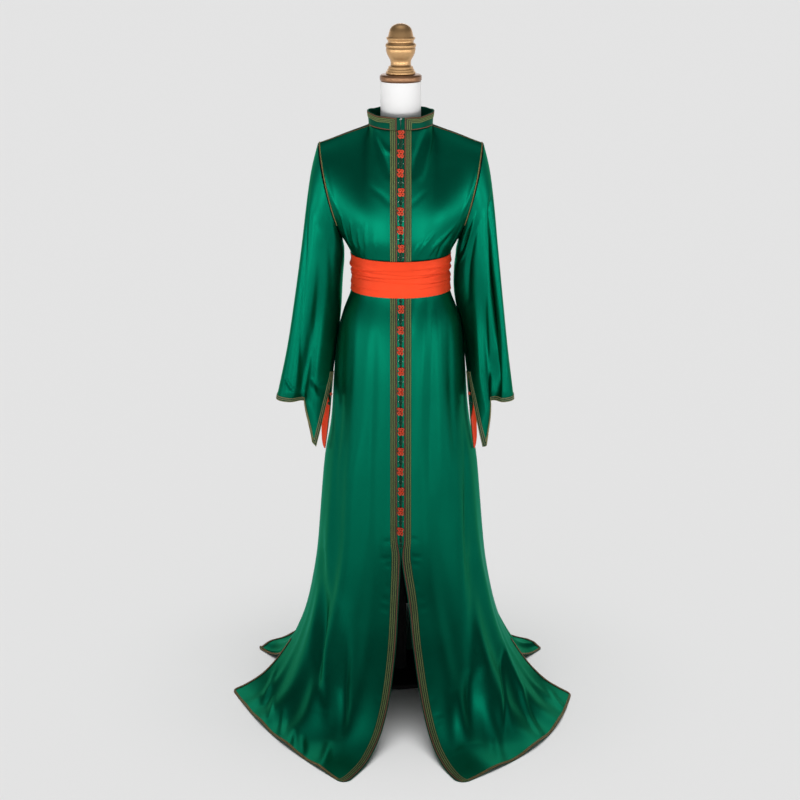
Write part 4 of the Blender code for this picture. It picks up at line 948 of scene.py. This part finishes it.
def set_along(name, parts, shape, size, slant, finish, slot, *nodes):
    """One mesh of shapes set on places. parts are (points, normals, directions)."""
    points, out, way = (np.concatenate([part[at] for part in parts]) for at in range(3))
    mesh = bpy.data.meshes.new(name)
    mesh.from_pydata([tuple(point) for point in points], [], [])
    for attribute, values in (("out", out), ("way", way)):
        stored = mesh.attributes.new(attribute, "FLOAT_VECTOR", "POINT")
        stored.data.foreach_set("vector", values.ravel())
    made = in_scene(name, mesh)
    placing = made.modifiers.new("placing", "NODES")
    placing.node_group = PLACING
    given = {"Shape": shape, "Size": size, "Slant": slant, "Finish": finish}
    for item in PLACING.interface.items_tree:
        if item.in_out == "INPUT" and item.name in given:
            placing[item.identifier] = given[item.name]
    plain = plain_mesh(made, name)
    made.modifiers.clear()
    made.data = plain
    return fitted(made, slot, *nodes)


def strand_turn():
    """One turn of a twisted cord: a small rounded lozenge, 1 across, 1 along and 1 high."""
    shape = bmesh.new()
    bmesh.ops.create_icosphere(shape, subdivisions=1, radius=0.5)
    mesh = bpy.data.meshes.new("strand_turn")
    shape.to_mesh(mesh)
    shape.free()
    return in_scene("strand_turn", mesh)


STRAND_TURN = strand_turn()
GOLD_CORD = cloth_material("olive_gold_cord", (0.215, 0.285, 0.083), 0.42, 0.15, 40, 40, 0.5, sheen=0.2)
ROSE_CORD = cloth_material("rose_brown_cord", (0.27, 0.100, 0.048), 0.48, 0.10, 40, 40, 0.5, sheen=0.2)
BRAID_GROUND = cloth_material("braid_ribbon", (0.012, 0.034, 0.012), 0.62, 0.0, 1200, 1200, 0.4)


def cords(name, lines, finish, size, height=CORD_TALL, lift=CORD_LIFT):
    """Twisted cords along lines on the cloth. size is a cord's width and the step of its turns."""
    width, step = size
    parts = [paced(raised(line, lift), step) for line in lines]
    turn = (width * TURN_WIDTH, step * TURN_LENGTH, height)
    return set_along(name, parts, STRAND_TURN, turn, TURN_SLANT, finish, "gold_braid")


def ribbon(name, lines, flip, node, finish=BRAID_GROUND):
    """A flat ribbon through lines that run side by side and have equal numbers of points."""
    points = np.stack([raised(line, RIBBON_LIFT)[:, :3] for line in lines], 1)
    flat = np.stack(np.meshgrid(np.arange(len(lines)) * LINES_APART, lengths(points, 0)[:, 0]), -1)
    return fitted(shell(name, points, flat, flip, finish, RIBBON), "gold_braid", node)


opened = ramp(LEVELS, *OPENING_LEVELS)
inner_edge, outer_edge = mix(BRAID_INNER, OPEN_INNER, opened), mix(BRAID_OUTER, OPEN_OUTER, opened)
slit_start = int(np.searchsorted(LEVELS, 2 + SIDE_SLIT ** (1 / SPREAD_PACE[1])))
arm_end = int(np.searchsorted(LEVELS, ARM_BRAID_END))


def front_line(surface, share):
    """The line at a share of the front band's width."""
    return beside(surface, "first", mix(inner_edge, outer_edge, share))


def front_edge_line(surface, share, gap=0):
    """The line at a share of the thin band, from the opening along the hem and up the side slit."""
    distance = EDGE_BAND * share
    hem = cut(beside(surface, "hem", distance), OPEN_OUTER + gap, distance)
    slit = cut(beside(surface, "last", distance)[slit_start:][::-1], distance, 0)
    return np.concatenate((hem, slit))


def back_edge_line(share):
    """The line up one slit of the back, along its hem and up the other slit."""
    distance = EDGE_BAND * share
    right = cut(beside(BACK, "first", distance)[slit_start:], 0, distance)
    hem = cut(beside(BACK, "hem", distance), distance, distance)
    left = cut(beside(BACK, "last", distance)[slit_start:][::-1], distance, 0)
    return np.concatenate((right, hem, left))


def hem_braid(tail, lines, centres, flip):
    """Thin braid along a hem and up its slits: a gold cord between two rose ones, on a ribbon."""
    ribbon(f"hem_ribbon_{tail}", lines, flip, f"hem_braid_{tail}")
    cords(f"hem_cords_{tail}", centres[1:2], GOLD_CORD, HEM_CORD)
    cords(f"hem_rose_cords_{tail}", centres[::2], ROSE_CORD, HEM_CORD)


def armhole_braid(tail, surface, edge, shares, flip):
    """Thin braid along an armhole: a gold cord on a ribbon, and a rose one next to the seam."""
    lines = {
        share: beside(surface, edge, BAND_GAP + ARM_BAND * share)[:arm_end]
        for share in (*shares, ARM_GOLD, ARM_ROSE)
    }
    ribbon(f"armhole_ribbon_{tail}", [lines[share] for share in shares], flip, f"armhole_braid_{tail}")
    cords(f"armhole_cords_{tail}", [lines[ARM_GOLD]], GOLD_CORD, ARM_CORD)
    cords(f"armhole_rose_cord_{tail}", [lines[ARM_ROSE]], ROSE_CORD, ARM_CORD)


for side, name in SIDES:
    surface = FRONTS[side]
    lines = [front_line(surface, share) for share in np.linspace(0, 1, RIBBON_LINES)]
    ribbon(f"front_ribbon_{name}", lines, side < 0, f"front_braid_{name}")
    rose, *gold = [front_line(surface, share) for share in FRONT_CORDS]
    cords(f"front_cords_{name}", gold, GOLD_CORD, FRONT_CORD)
    cords(f"front_rose_cord_{name}", [rose], ROSE_CORD, FRONT_CORD)

for side, name in SIDES:
    surface = FRONTS[side]
    lines = [evenly(front_edge_line(surface, share, BAND_GAP), HEM_POINTS["front"]) for share in (0, 0.5, 1)]
    hem_braid(name, lines, [front_edge_line(surface, share) for share in HEM_CORDS], side > 0)
    armhole_braid(name, surface, "last", (1, 0.5, 0), side < 0)
    seam_line = np.concatenate((surface["points"][1], surface["normals"][1]), -1)
    seam_line = seam_line[np.abs(seam_line[:, 0]) > NECK_HALF]
    cords(f"shoulder_cord_{name}", [seam_line], ROSE_CORD, ARM_CORD, SEAM_CORD_TALL, SEAM_CORD_LIFT)

lines = [evenly(back_edge_line(share), HEM_POINTS["back"]) for share in (0, 0.5, 1)]
hem_braid("back", lines, [back_edge_line(share) for share in HEM_CORDS], True)
armhole_braid("back_right", BACK, "first", (0, 0.5, 1), True)
armhole_braid("back_left", BACK, "last", (0, 0.5, 1), False)

# ---------------------------------------------------------------- cuffs
# A green ribbon with three pale gold cords runs round each cuff, down one side of its slit and up the
# other. An orange facing shows inside the back corner, and two small knots, made with those of the
# closing, hold the top of the slit.
CUFF_BAND, CUFF_GAP, CUFF_POINTS = 0.0115, 0.0002, 260
CUFF_CORDS, CUFF_CORD = (0.12, 0.50, 0.88), (0.0018, 0.0020)
SLIT_ABOVE = 4  # rows of cloth by which the braid starts above the slit
FACING_TOP = {1: 12, -1: 8}  # rows of cloth between the top of the slit and the facing
FACING_FROM = 0.845  # share of the way round the sleeve where the facing starts
FACING_WALL, FACING_GAP = 0.0006, 0.0004
CUFF_GROUND = cloth_material("green_ribbon", (0.002, 0.085, 0.045), 0.55, 0.3, 1200, 1200, 0.4)
PALE_CORD = cloth_material("pale_gold_cord", (0.34, 0.32, 0.14), 0.42, 0.15, 40, 40, 0.5, sheen=0.2)
ORANGE_SATIN = cloth_material("orange_satin", (0.98, 0.064, 0.016), 0.46, 0.30, tint=(1.0, 0.5, 0.3),
                              sheen=0.05)


def cuff_line(surface, distance):
    """Down the front edge of the slit, round the cuff and up the back edge."""
    front = cut(beside(surface, "first", distance)[slit_row - SLIT_ABOVE :], 0, distance)
    round_cuff = cut(beside(surface, "hem", distance), distance, distance)
    back = cut(beside(surface, "last", distance)[slit_row - SLIT_ABOVE :][::-1], distance, 0)
    return np.concatenate((front, round_cuff, back))


for side, name in SIDES:
    surface = SLEEVES[side]
    lines = [cuff_line(surface, CUFF_BAND * share + CUFF_GAP) for share in (0, 0.33, 0.67, 1)]
    lines = [evenly(line, CUFF_POINTS) for line in lines]
    ribbon(f"cuff_ribbon_{name}", lines, side > 0, f"cuff_braid_{name}", CUFF_GROUND)
    centres = [cuff_line(surface, CUFF_BAND * share) for share in CUFF_CORDS]
    cords(f"cuff_cords_{name}", centres, PALE_CORD, CUFF_CORD)
    corner = np.s_[slit_row + FACING_TOP[side] :, round(SLEEVE_COLUMNS * FACING_FROM) :]
    inner = surface["points"][corner] - surface["normals"][corner] * FACING_GAP
    flat = np.stack((surface["across"], surface["down"]), -1)[corner]
    lining = shell(f"cuff_facing_{name}", inner, flat, side < 0, ORANGE_SATIN, FACING_WALL, outside=-1)
    fitted(lining, "orange_satin", f"cuff_lining_{name}")

# ---------------------------------------------------------------- closing knots
# Aakad: small knots of silk cord, worked in twos. Four orange ones make a group, two green ones with a
# silver bead at each side join it to the next, and a thin green cord runs under them all.
# Groups of knots: height of the first, pitch, how many
UPPER_KNOTS, LOWER_KNOTS = (1.388, 0.0428, 7), (0.9825, 0.0480, 12)
CHAIN_UPPER, CHAIN_LOWER = (1.3955, 1.1020), (1.0030, 0.4270)  # top and foot of the cord under them
# The knots of a group, then the knots and the beads of a joint: up from its middle, across
FOUR_KNOTS = ((0.0048, -0.0031), (0.0044, 0.0033), (-0.0046, -0.0034), (-0.0050, 0.0030))
JOINT_KNOTS, JOINT_BEADS = ((0.0049, 0.0004), (-0.0049, -0.0004)), ((0.0002, -0.0052), (-0.0008, 0.0054))
# Green knots by themselves, under the belt and at the foot: height, across
END_KNOTS = ((1.0, 0.0), (0.4305, 0.0004), (0.41994, 0.0))
SWAY, SWAY_TILT = 0.0009, 0.4 / 0.0031  # how far the groups stray sideways, and how much they tilt with it
ORANGE_LIFT, GREEN_LIFT, BEAD_LIFT, CHAIN_LIFT = (CLOTH + lift for lift in (0.0030, 0.0026, 0.0022, 0.0008))
CHAIN_STEP, CHAIN_HALF = 0.0030, 0.0016
# Size of a knot, a bead and a turn of the cord: across, along, high; then how far each is slanted
ORANGE_KNOT, GREEN_KNOT = ((0.0088, 0.0112, 0.0092), 0.5), ((0.0092, 0.0112, 0.0088), 0.4)
BEAD, CHAIN_TURN = ((0.0024, 0.0026, 0.0024), 0.0), ((0.0028, 0.0052, 0.0018), 0.6)
CUFF_KNOT, CUFF_KNOT_SHIFT = ((0.0088, 0.0092, 0.0090), 0.3), 0.0035
# Knots of the cuffs: colour, rows of cloth below the top of the slit, lift
CUFF_KNOTS = (("orange", 5, 0.0052), ("green", 8, 0.0050))
ORANGE_CORD = cloth_material("orange_silk_cord", (0.82, 0.085, 0.030), 0.42, 0.0, 40, 40, 0.5, sheen=0.3)
GREEN_CORD = cloth_material("green_silk_cord", (0.004, 0.055, 0.026), 0.42, 0.1, 40, 40, 0.5, sheen=0.2)
SILVER = plain_material("silver_bead", (0.80, 0.80, 0.76), 0.22, 1.0)


def knot_shape():
    """A small knot: a cord wound in a flat trefoil, 1 across and 1 along."""
    turns, sides, reach, swing, rise, thick = 36, 5, 0.285, 0.115, 0.16, 0.105
    around = np.linspace(0, 2 * np.pi, turns, endpoint=False)
    out = reach + swing * np.cos(3 * around)
    path = places(out * np.cos(2 * around), out * np.sin(2 * around), rise * np.sin(3 * around))
    way = np.roll(path, -1, 0) - np.roll(path, 1, 0)
    way /= np.linalg.norm(way, axis=1, keepdims=True)
    beside_way = np.cross(way, (0, 0, 1.0))
    beside_way /= np.linalg.norm(beside_way, axis=1, keepdims=True)
    over = np.cross(beside_way, way)
    vertices, faces = [], []
    for at in range(turns):
        for turn in range(sides):
            angle = 2 * math.pi * turn / sides
            rim = beside_way[at] * math.cos(angle) + over[at] * math.sin(angle)
            vertices.append(path[at] + rim * thick)
            one, two = at * sides + turn, at * sides + (turn + 1) % sides
            low, high = (one + sides) % (turns * sides), (two + sides) % (turns * sides)
            faces.append((one, low, high, two))
    return mesh_object("knot_shape", vertices, faces, ORANGE_CORD)


KNOT_SHAPE = knot_shape()
closing, outwards = FRONTS[1]["points"][:, 0].copy(), FRONTS[1]["normals"][:, 0].copy()
closing[:, 0] = outwards[:, 0] = 0
outwards /= np.linalg.norm(outwards, axis=1, keepdims=True)
closing_line = np.concatenate((closing, outwards), 1)
closing_line = closing_line[closing_line[:, 2] > 0.3][::-1]


def on_closing(rows, lift):
    """Places on the closing, given as (height, across): points, normals and the way down."""
    heights, across = np.transpose(rows)
    found = at_lengths(closing_line, closing_line[:, 2], heights)
    out = found[:, 3:] / np.linalg.norm(found[:, 3:], axis=1, keepdims=True)
    points = found[:, :3] + out * lift
    points[:, 0] = across
    return points, out, np.cross(out, (1.0, 0, 0))


orange, green, silver = [], [], []
for first, pitch, count in (UPPER_KNOTS, LOWER_KNOTS):
    for at in range(count):
        middle = first - at * pitch
        sway = SWAY * math.sin(at * 2.1 + first)
        orange += [(middle + up + SWAY_TILT * sway * across, across + sway) for up, across in FOUR_KNOTS]
        joint = middle - pitch / 2
        if at < count - 1 or first == UPPER_KNOTS[0]:
            green += [(joint + up, across) for up, across in JOINT_KNOTS]
            silver += [(joint + up, across) for up, across in JOINT_BEADS]
green += END_KNOTS
set_along("aakad_orange", [on_closing(orange, ORANGE_LIFT)], KNOT_SHAPE, *ORANGE_KNOT, ORANGE_CORD,
          "orange_passementerie", *[f"aakad_{number:02d}" for number in range(1, 20)])
set_along("aakad_green", [on_closing(green, GREEN_LIFT)], KNOT_SHAPE, *GREEN_KNOT, GREEN_CORD,
          "green_passementerie", "knot_chain_upper", "knot_chain_lower")
set_along("aakad_silver_beads", [on_closing(silver, BEAD_LIFT)], STRAND_TURN, *BEAD, SILVER, "silver_hook")
for name, (top, bottom) in (("upper", CHAIN_UPPER), ("lower", CHAIN_LOWER)):
    heights = np.arange(top, bottom, -CHAIN_STEP)
    chain = [on_closing([(height, across) for height in heights], CHAIN_LIFT)
             for across in (-CHAIN_HALF, CHAIN_HALF)]
    set_along(f"closing_cord_{name}", chain, STRAND_TURN, *CHAIN_TURN, GREEN_CORD, "green_passementerie")

for side, name in SIDES:
    points, normals = SLEEVES[side]["points"], SLEEVES[side]["normals"]
    for colour, below, lift in CUFF_KNOTS:
        row = slit_row + below
        out = normals[row, 1]
        point = points[row, 0] + (-CUFF_KNOT_SHIFT * side, 0, 0) + out * lift
        way = points[row + 2, 1] - points[row - 2, 1]
        part = (point[None], out[None], way[None] / np.linalg.norm(way))
        finish, stands_for = (GREEN_CORD, [f"cuff_knot_{name}"]) if colour == "green" else (ORANGE_CORD, [])
        set_along(f"cuff_knot_{colour}_{name}", [part], KNOT_SHAPE, *CUFF_KNOT, finish,
                  f"{colour}_passementerie", *stands_for)

# ---------------------------------------------------------------- collar
# A low stand collar of two layers of satin over a stiff interlining, a little open at the throat. The
# front braid turns outwards on it and follows its top edge, and a small silver hook and eye close it.
COLLAR_HEIGHT, COLLAR_DIP, COLLAR_FOOT = 0.032, 0.004, 0.0009
COLLAR_SEAT, COLLAR_LEAN, COLLAR_WALL = 0.0006, 0.0020, 0.0017
COLLAR_OPEN = 0.0008
COLLAR_WAVER = (0.0026, 0.0018)  # how far the worn top edge wavers outwards and upwards
COLLAR_COLUMNS, COLLAR_ROWS = 132, 16
COLLAR_BAND, COLLAR_CORD, FOOT_CORD = 0.0142, (0.0018, 0.0023), (0.0018, 0.0020)
COLLAR_LIFT = COLLAR_WALL + 0.0002
COLLAR_CORD_LIFT = COLLAR_LIFT + 0.0008
COLLAR_POINTS = 120  # places along each half of the collar's ribbon
SOFT_EDGE = 0.0004
turn = np.linspace(-np.pi, np.pi, COLLAR_COLUMNS + 1)[None, :]
rise = np.linspace(1, 0, COLLAR_ROWS + 1)[:, None]
sine, cosine = np.sin(turn), np.cos(turn)
in_front = cosine < 0
half = NECK_HALF + COLLAR_SEAT + COLLAR_LEAN * rise
depth = np.where(in_front, NECK_FRONT - COLLAR_DIP * rise, NECK_BACK) + COLLAR_SEAT
base = mix(NECK_Z_SIDE, np.where(in_front, NECK_Z_FRONT, NECK_Z_BACK), cosine**2)
height = base + COLLAR_FOOT + rise * (COLLAR_HEIGHT - COLLAR_DIP * np.maximum(0, -cosine))
still = ramp(np.pi - np.abs(turn), 0.10, 0.60) * rise**1.5
waver = still * (np.sin(3 * turn + 0.7) + 0.8 * np.sin(7 * turn + 2.0) + 0.4 * np.sin(12 * turn)) / 2.2
dips = still * (np.sin(4 * turn + 1.9) + 0.8 * np.sin(9 * turn + 0.4)) / 1.8
half, depth = half + COLLAR_WAVER[0] * waver, depth + COLLAR_WAVER[0] * waver
height = height + COLLAR_WAVER[1] * dips
collar_points = places(half * sine, depth * cosine, height)
collar_points[:, 0, 0], collar_points[:, -1, 0] = -COLLAR_OPEN, COLLAR_OPEN
flat = np.stack((lengths(collar_points, 1), (1 - rise) * COLLAR_HEIGHT + 0 * turn), -1)
COLLAR_SATIN = cloth_material("backed_green_satin", (0.0007, 0.070, 0.040), 0.48, 0.70, tint=(0.1, 0.9, 0.6))
collar = shell("satin_collar", collar_points, flat, True, COLLAR_SATIN, COLLAR_WALL)
soft = collar.modifiers.new("soft edge", "BEVEL")
soft.width = SOFT_EDGE
soft.segments = 2
soft.limit_method = "ANGLE"
fitted(collar, "green_satin", "collar")
COLLAR = {"points": collar_points, "normals": facing(collar_points, -1)}


def collar_half(side):
    """One side of the collar, from the closing to the middle of the back: points and normals."""
    grid = np.concatenate((COLLAR["points"], COLLAR["normals"]), -1)
    return (grid[:, ::-1] if side > 0 else grid)[:, : COLLAR_COLUMNS // 2 + 1]


def collar_line(side, share, gap=0):
    """The line at a share of the band, up beside the throat and round the top edge to the back."""
    beside_closing, below_top = mix(BRAID_INNER, BRAID_OUTER, share), gap + COLLAR_BAND * share
    up = cut(beside(COLLAR, "first" if side < 0 else "last", beside_closing)[::-1], 0, below_top)
    rows = collar_half(side).swapaxes(0, 1)
    top = np.array([at_lengths(row, run, below_top) for row, run in zip(rows, lengths(rows[..., :3], 1))])
    return np.concatenate((up, cut(top, beside_closing, 0)))


for side, name in SIDES[::-1]:
    lines = [evenly(collar_line(side, share, BAND_GAP), COLLAR_POINTS) for share in (0.0, 0.33, 0.67, 1.0)]
    lines = [raised(line, COLLAR_LIFT - RIBBON_LIFT) for line in lines]
    ribbon(f"collar_ribbon_{name}", lines, side > 0, "collar_braid")
    rose, *gold = [collar_line(side, share) for share in FRONT_CORDS]
    cords(f"collar_cords_{name}", gold, GOLD_CORD, COLLAR_CORD, lift=COLLAR_CORD_LIFT)
    cords(f"collar_rose_cord_{name}", [rose], ROSE_CORD, COLLAR_CORD, lift=COLLAR_CORD_LIFT)
    foot = cut(collar_half(side)[-1], BRAID_OUTER, 0)
    cords(f"collar_foot_cord_{name}", [foot], ROSE_CORD, FOOT_CORD, lift=COLLAR_LIFT)

HOOK_PATH = (
    (-0.0032, -0.0806, 1.4222), (0.0012, -0.0810, 1.4226), (0.0036, -0.0808, 1.4240),
    (0.0026, -0.0804, 1.4258), (0.0006, -0.0802, 1.4252),
)
hook = bpy.data.curves.new("hook", "CURVE")
hook.dimensions = "3D"
hook.bevel_depth = 0.0007
hook.bevel_resolution = 2
hook.use_fill_caps = True
wire = hook.splines.new("NURBS")
wire.points.add(len(HOOK_PATH) - 1)
for point, place in zip(wire.points, HOOK_PATH):
    point.co = (*place, 1)
wire.use_endpoint_u = True
hook.materials.append(SILVER)
bent = in_scene("hook_wire", hook)
hook_mesh = plain_mesh(bent, "collar_hook_wire")
bpy.data.objects.remove(bent)
fitted(in_scene("collar_hook_wire", hook_mesh), "silver_hook", "collar_hook")

# ---------------------------------------------------------------- belt
# Mdamma: a long band of orange satin, wrapped tightly round the waist. It is smooth in front and its
# layers draw together in soft lengthwise pleats towards the sides.
BELT_WALL, BELT_CLEAR = 0.0022, CLOTH + 0.0023  # thickness, and how far out its inner face lies
# Edges and waist of the belt: height, how far the sides stand out
BELT_ROWS = ((1.0965, 0.0), (1.0750, 0.0022), (1.0580, 0.0006), (1.0410, 0.0024), (1.0080, 0.0))
BELT_COLUMNS, BELT_LINES = 150, 84
# Tucks: height, drop towards the right side, how far one stands out, half height
TUCKS = (
    (1.0735, 0.0040, 0.0034, 0.0050), (1.0640, -0.0030, 0.0030, 0.0040), (1.0560, 0.0020, 0.0036, 0.0042),
    (1.0440, -0.0040, 0.0026, 0.0050), (1.0270, 0.0030, 0.0016, 0.0050),
)
TUCK_STRAY = 0.0012  # how far a tuck strays up and down on its way round
ABOVE, BELOW = 0.35, 4  # how soon a tuck falls off above and below its edge
GROOVE, GROOVE_AT, GROOVE_HALF = 0.7, 0.35, 0.26
TUCK_IN_FRONT, GROOVE_IN_FRONT = 0.20, 0.12  # share of a tuck, and of its groove, that shows in front
turn = np.linspace(0, 2 * np.pi, BELT_COLUMNS + 1)[None, :]
height = np.linspace(BELT_ROWS[0][0], BELT_ROWS[-1][0], BELT_LINES + 1)[:, None] + 0 * turn
at_side = np.sin(turn) ** 2
stand = curve_through(BELT_ROWS, height) * at_side
for middle, drop, tall, half in TUCKS:
    stray = drop * np.sin(turn) + TUCK_STRAY * np.sin(3 * turn + middle * 900)
    place = (height - middle - stray) / half
    step = np.exp(-(place**2) * np.where(place > 0, ABOVE, BELOW))
    groove = GROOVE * bump(place, -GROOVE_AT, GROOVE_HALF)
    tuck = step * mix(TUCK_IN_FRONT, 1, at_side**1.2) - groove * mix(GROOVE_IN_FRONT, 1, at_side**0.7)
    stand = stand + tall * tuck
depth = np.where(np.cos(turn) < 0, curve_through(BODY, height, 2), curve_through(BODY, height, 3))
reach = curve_through(BODY, height) + BELT_CLEAR + stand
belt_points = places(reach * np.sin(turn), (depth + BELT_CLEAR + stand) * np.cos(turn), height)
flat = np.stack((BELT_ROWS[0][0] - height, lengths(belt_points, 1)), -1)
belt = shell("satin_belt", belt_points, flat, True, ORANGE_SATIN, BELT_WALL, closed_rows=BELT_LINES + 1)
fitted(belt, "orange_satin", "belt")


# ---------------------------------------------------------------- dress form
# A limbless form covered in plain white jersey, with a dark bronze disc on its neck and a turned gilt
# finial. It stands on a black steel pole and a round foot.
FORM = (
    (0.7800, 0.118, 0.098, 0.098, 1.0), (0.7860, 0.128, 0.108, 0.108, 1.0),
    (0.8500, 0.135, 0.118, 0.114, 1.0), (0.9300, 0.121, 0.104, 0.097, 1.0),
    (1.0000, 0.101, 0.091, 0.077, 1.0), (1.0500, 0.095, 0.087, 0.070, 1.0),
    (1.1000, 0.101, 0.092, 0.076, 1.0), (1.1500, 0.114, 0.106, 0.084, 1.0),
    (1.2000, 0.129, 0.110, 0.088, 1.0), (1.2600, 0.143, 0.092, 0.086, 1.0),
    (1.3100, 0.156, 0.066, 0.070, 1.0),
)
SHOULDERS = (
    (1.3430, 0.0470, 1.25), (1.3650, 0.0400, 1.7), (1.3730, 0.0390, 2.0), (1.3830, 0.0400, 2.2),
    (1.3920, 0.0420, 2.3), (1.3975, 0.0440, 2.6), (1.4080, 0.0474, 1.1),
)
FORM_SHOULDER, RIDGE_CLEAR = 0.162, 0.0011
NECK_RADIUS, NECK_TOP = 0.0473, 1.5012
FORM_TURNS = 112
FORM_SHARP, TURNED_SHARP = math.radians(50), math.radians(42)  # angles that stay sharp
slope = (NECK_Z_SIDE - SHOULDER[1]) / (SHOULDER[0] - NECK_HALF)
sections = list(FORM)
for top, deep, pointed in SHOULDERS:
    reach = max(NECK_HALF + (NECK_Z_SIDE - RIDGE_CLEAR - top) / slope, NECK_RADIUS + 0.002)
    sections.append((top, min(FORM_SHOULDER, reach), deep, deep, pointed))
sections += [(top, NECK_RADIUS, NECK_RADIUS, NECK_RADIUS, 1.0) for top in (1.4200, 1.4600, NECK_TOP)]
vertices, faces = [], []
for top, wide, front, back, pointed in sections:
    for at in range(FORM_TURNS):
        angle = 2 * math.pi * at / FORM_TURNS
        out, ahead = math.sin(angle), math.cos(angle)
        vertices.append((
            math.copysign(wide * abs(out) ** pointed, out),
            math.copysign((front if ahead < 0 else back) * abs(ahead) ** pointed, ahead),
            top,
        ))
for start in range(0, len(vertices) - FORM_TURNS, FORM_TURNS):
    for at in range(FORM_TURNS):
        one, two = start + at, start + (at + 1) % FORM_TURNS
        faces.append((one, one + FORM_TURNS, two + FORM_TURNS, two))
faces.append(tuple(range(FORM_TURNS)))
faces.append(tuple(range(len(vertices) - 1, len(vertices) - 1 - FORM_TURNS, -1)))
JERSEY = cloth_material("white_jersey", (0.97, 0.962, 0.958), 0.75, 0.0, 500, 500, 0.06, sheen=0.2)
torso = mesh_object("form_body", vertices, faces, JERSEY, [(v[0] + v[1], v[2]) for v in vertices])
torso.data.set_sharp_from_angle(angle=FORM_SHARP)
fitted(torso, "white_form_cloth", "form_torso")


def turned(name, profile, finish, slot, node, steps=96):
    """A turned piece. The profile (height, radius) runs down its outer side, from the axis to the axis."""
    vertices, rings, faces = [], [], []
    for height, radius in profile:
        count = 1 if radius == 0 else steps
        rings.append([len(vertices) + at % count for at in range(steps + 1)])
        for at in range(count):
            angle = 2 * math.pi * at / steps
            vertices.append((radius * math.sin(angle), -radius * math.cos(angle), height))
    for upper, lower in zip(rings, rings[1:]):
        for at in range(steps):
            corners = (upper[at + 1], upper[at], lower[at], lower[at + 1])
            faces.append(list(dict.fromkeys(corners)))
    made = mesh_object(name, vertices, faces, finish)
    made.data.set_sharp_from_angle(angle=TURNED_SHARP)
    return fitted(made, slot, node)


BRONZE = plain_material("dark_bronze", (0.30, 0.155, 0.080), 0.34, 0.75)
GILT = plain_material("gilt_wood", (0.60, 0.36, 0.165), 0.33, 0.85)
BLACK_STEEL = plain_material("black_steel", (0.006, 0.006, 0.006), 0.70, 0.0)
DISC_FOOT, DISC_TOP, DISC_RADIUS = 1.5015, 1.5175, 0.0490
DISC = (
    (DISC_TOP, 0), (DISC_TOP, 0.0448), (DISC_TOP - 0.0008, 0.0462), (DISC_TOP - 0.0030, 0.0487),
    (DISC_TOP - 0.0042, DISC_RADIUS), (DISC_FOOT + 0.0040, DISC_RADIUS), (DISC_FOOT + 0.0024, 0.0482),
    (DISC_FOOT, 0.0455), (DISC_FOOT, 0),
)
turned("neck_disc", DISC, BRONZE, "bronze_disc", "form_neck_disc")
# The finial: height over the disc, radius
FINIAL = (
    (0.1163, 0.0000), (0.1160, 0.0050), (0.1150, 0.0100), (0.1125, 0.0160),
    (0.1090, 0.0208), (0.1038, 0.0247), (0.0985, 0.0266), (0.0933, 0.0279),
    (0.0885, 0.0290), (0.0861, 0.0296), (0.0845, 0.0330), (0.0832, 0.0338),
    (0.0819, 0.0336), (0.0795, 0.0322), (0.0775, 0.0304), (0.0750, 0.0300),
    (0.0730, 0.0303), (0.0700, 0.0340), (0.0682, 0.0353), (0.0661, 0.0357),
    (0.0642, 0.0354), (0.0625, 0.0348), (0.0612, 0.0337), (0.0598, 0.0345),
    (0.0565, 0.0345), (0.0531, 0.0340), (0.0498, 0.0332), (0.0463, 0.0320),
    (0.0426, 0.0303), (0.0390, 0.0283), (0.0355, 0.0263), (0.0325, 0.0246),
    (0.0280, 0.0237), (0.0246, 0.0237), (0.0215, 0.0238), (0.0200, 0.0243),
    (0.0186, 0.0266), (0.0178, 0.0285), (0.0155, 0.0289), (0.0130, 0.0290),
    (0.0122, 0.0308), (0.0098, 0.0314), (0.0075, 0.0315), (0.0068, 0.0340),
    (0.0040, 0.0345), (0.0010, 0.0345), (0.0000, 0.0338), (0.0000, 0.0),
)
finial = [(DISC_TOP + 0.0003 + up, radius) for up, radius in FINIAL]
turned("neck_finial", finial, GILT, "gilt_finial", "form_finial")
POLE_TOP, POLE_FOOT, POLE_RADIUS = 0.7797, 0.0123, 0.0140
POLE = ((POLE_TOP, 0), (POLE_TOP, POLE_RADIUS), (POLE_FOOT, POLE_RADIUS), (POLE_FOOT, 0))
turned("stand_pole", POLE, BLACK_STEEL, "black_stand", "form_pole", 48)
FOOT = (
    (0.0120, 0), (0.0120, 0.1070), (0.0117, 0.1082), (0.0110, 0.1091), (0.0100, 0.1100), (0.0010, 0.1100),
    (0.0, 0.1090), (0.0, 0.0),
)
turned("stand_foot", FOOT, BLACK_STEEL, "black_stand", "form_base")

for pattern in (STRAND_TURN, KNOT_SHAPE):
    bpy.data.objects.remove(pattern)
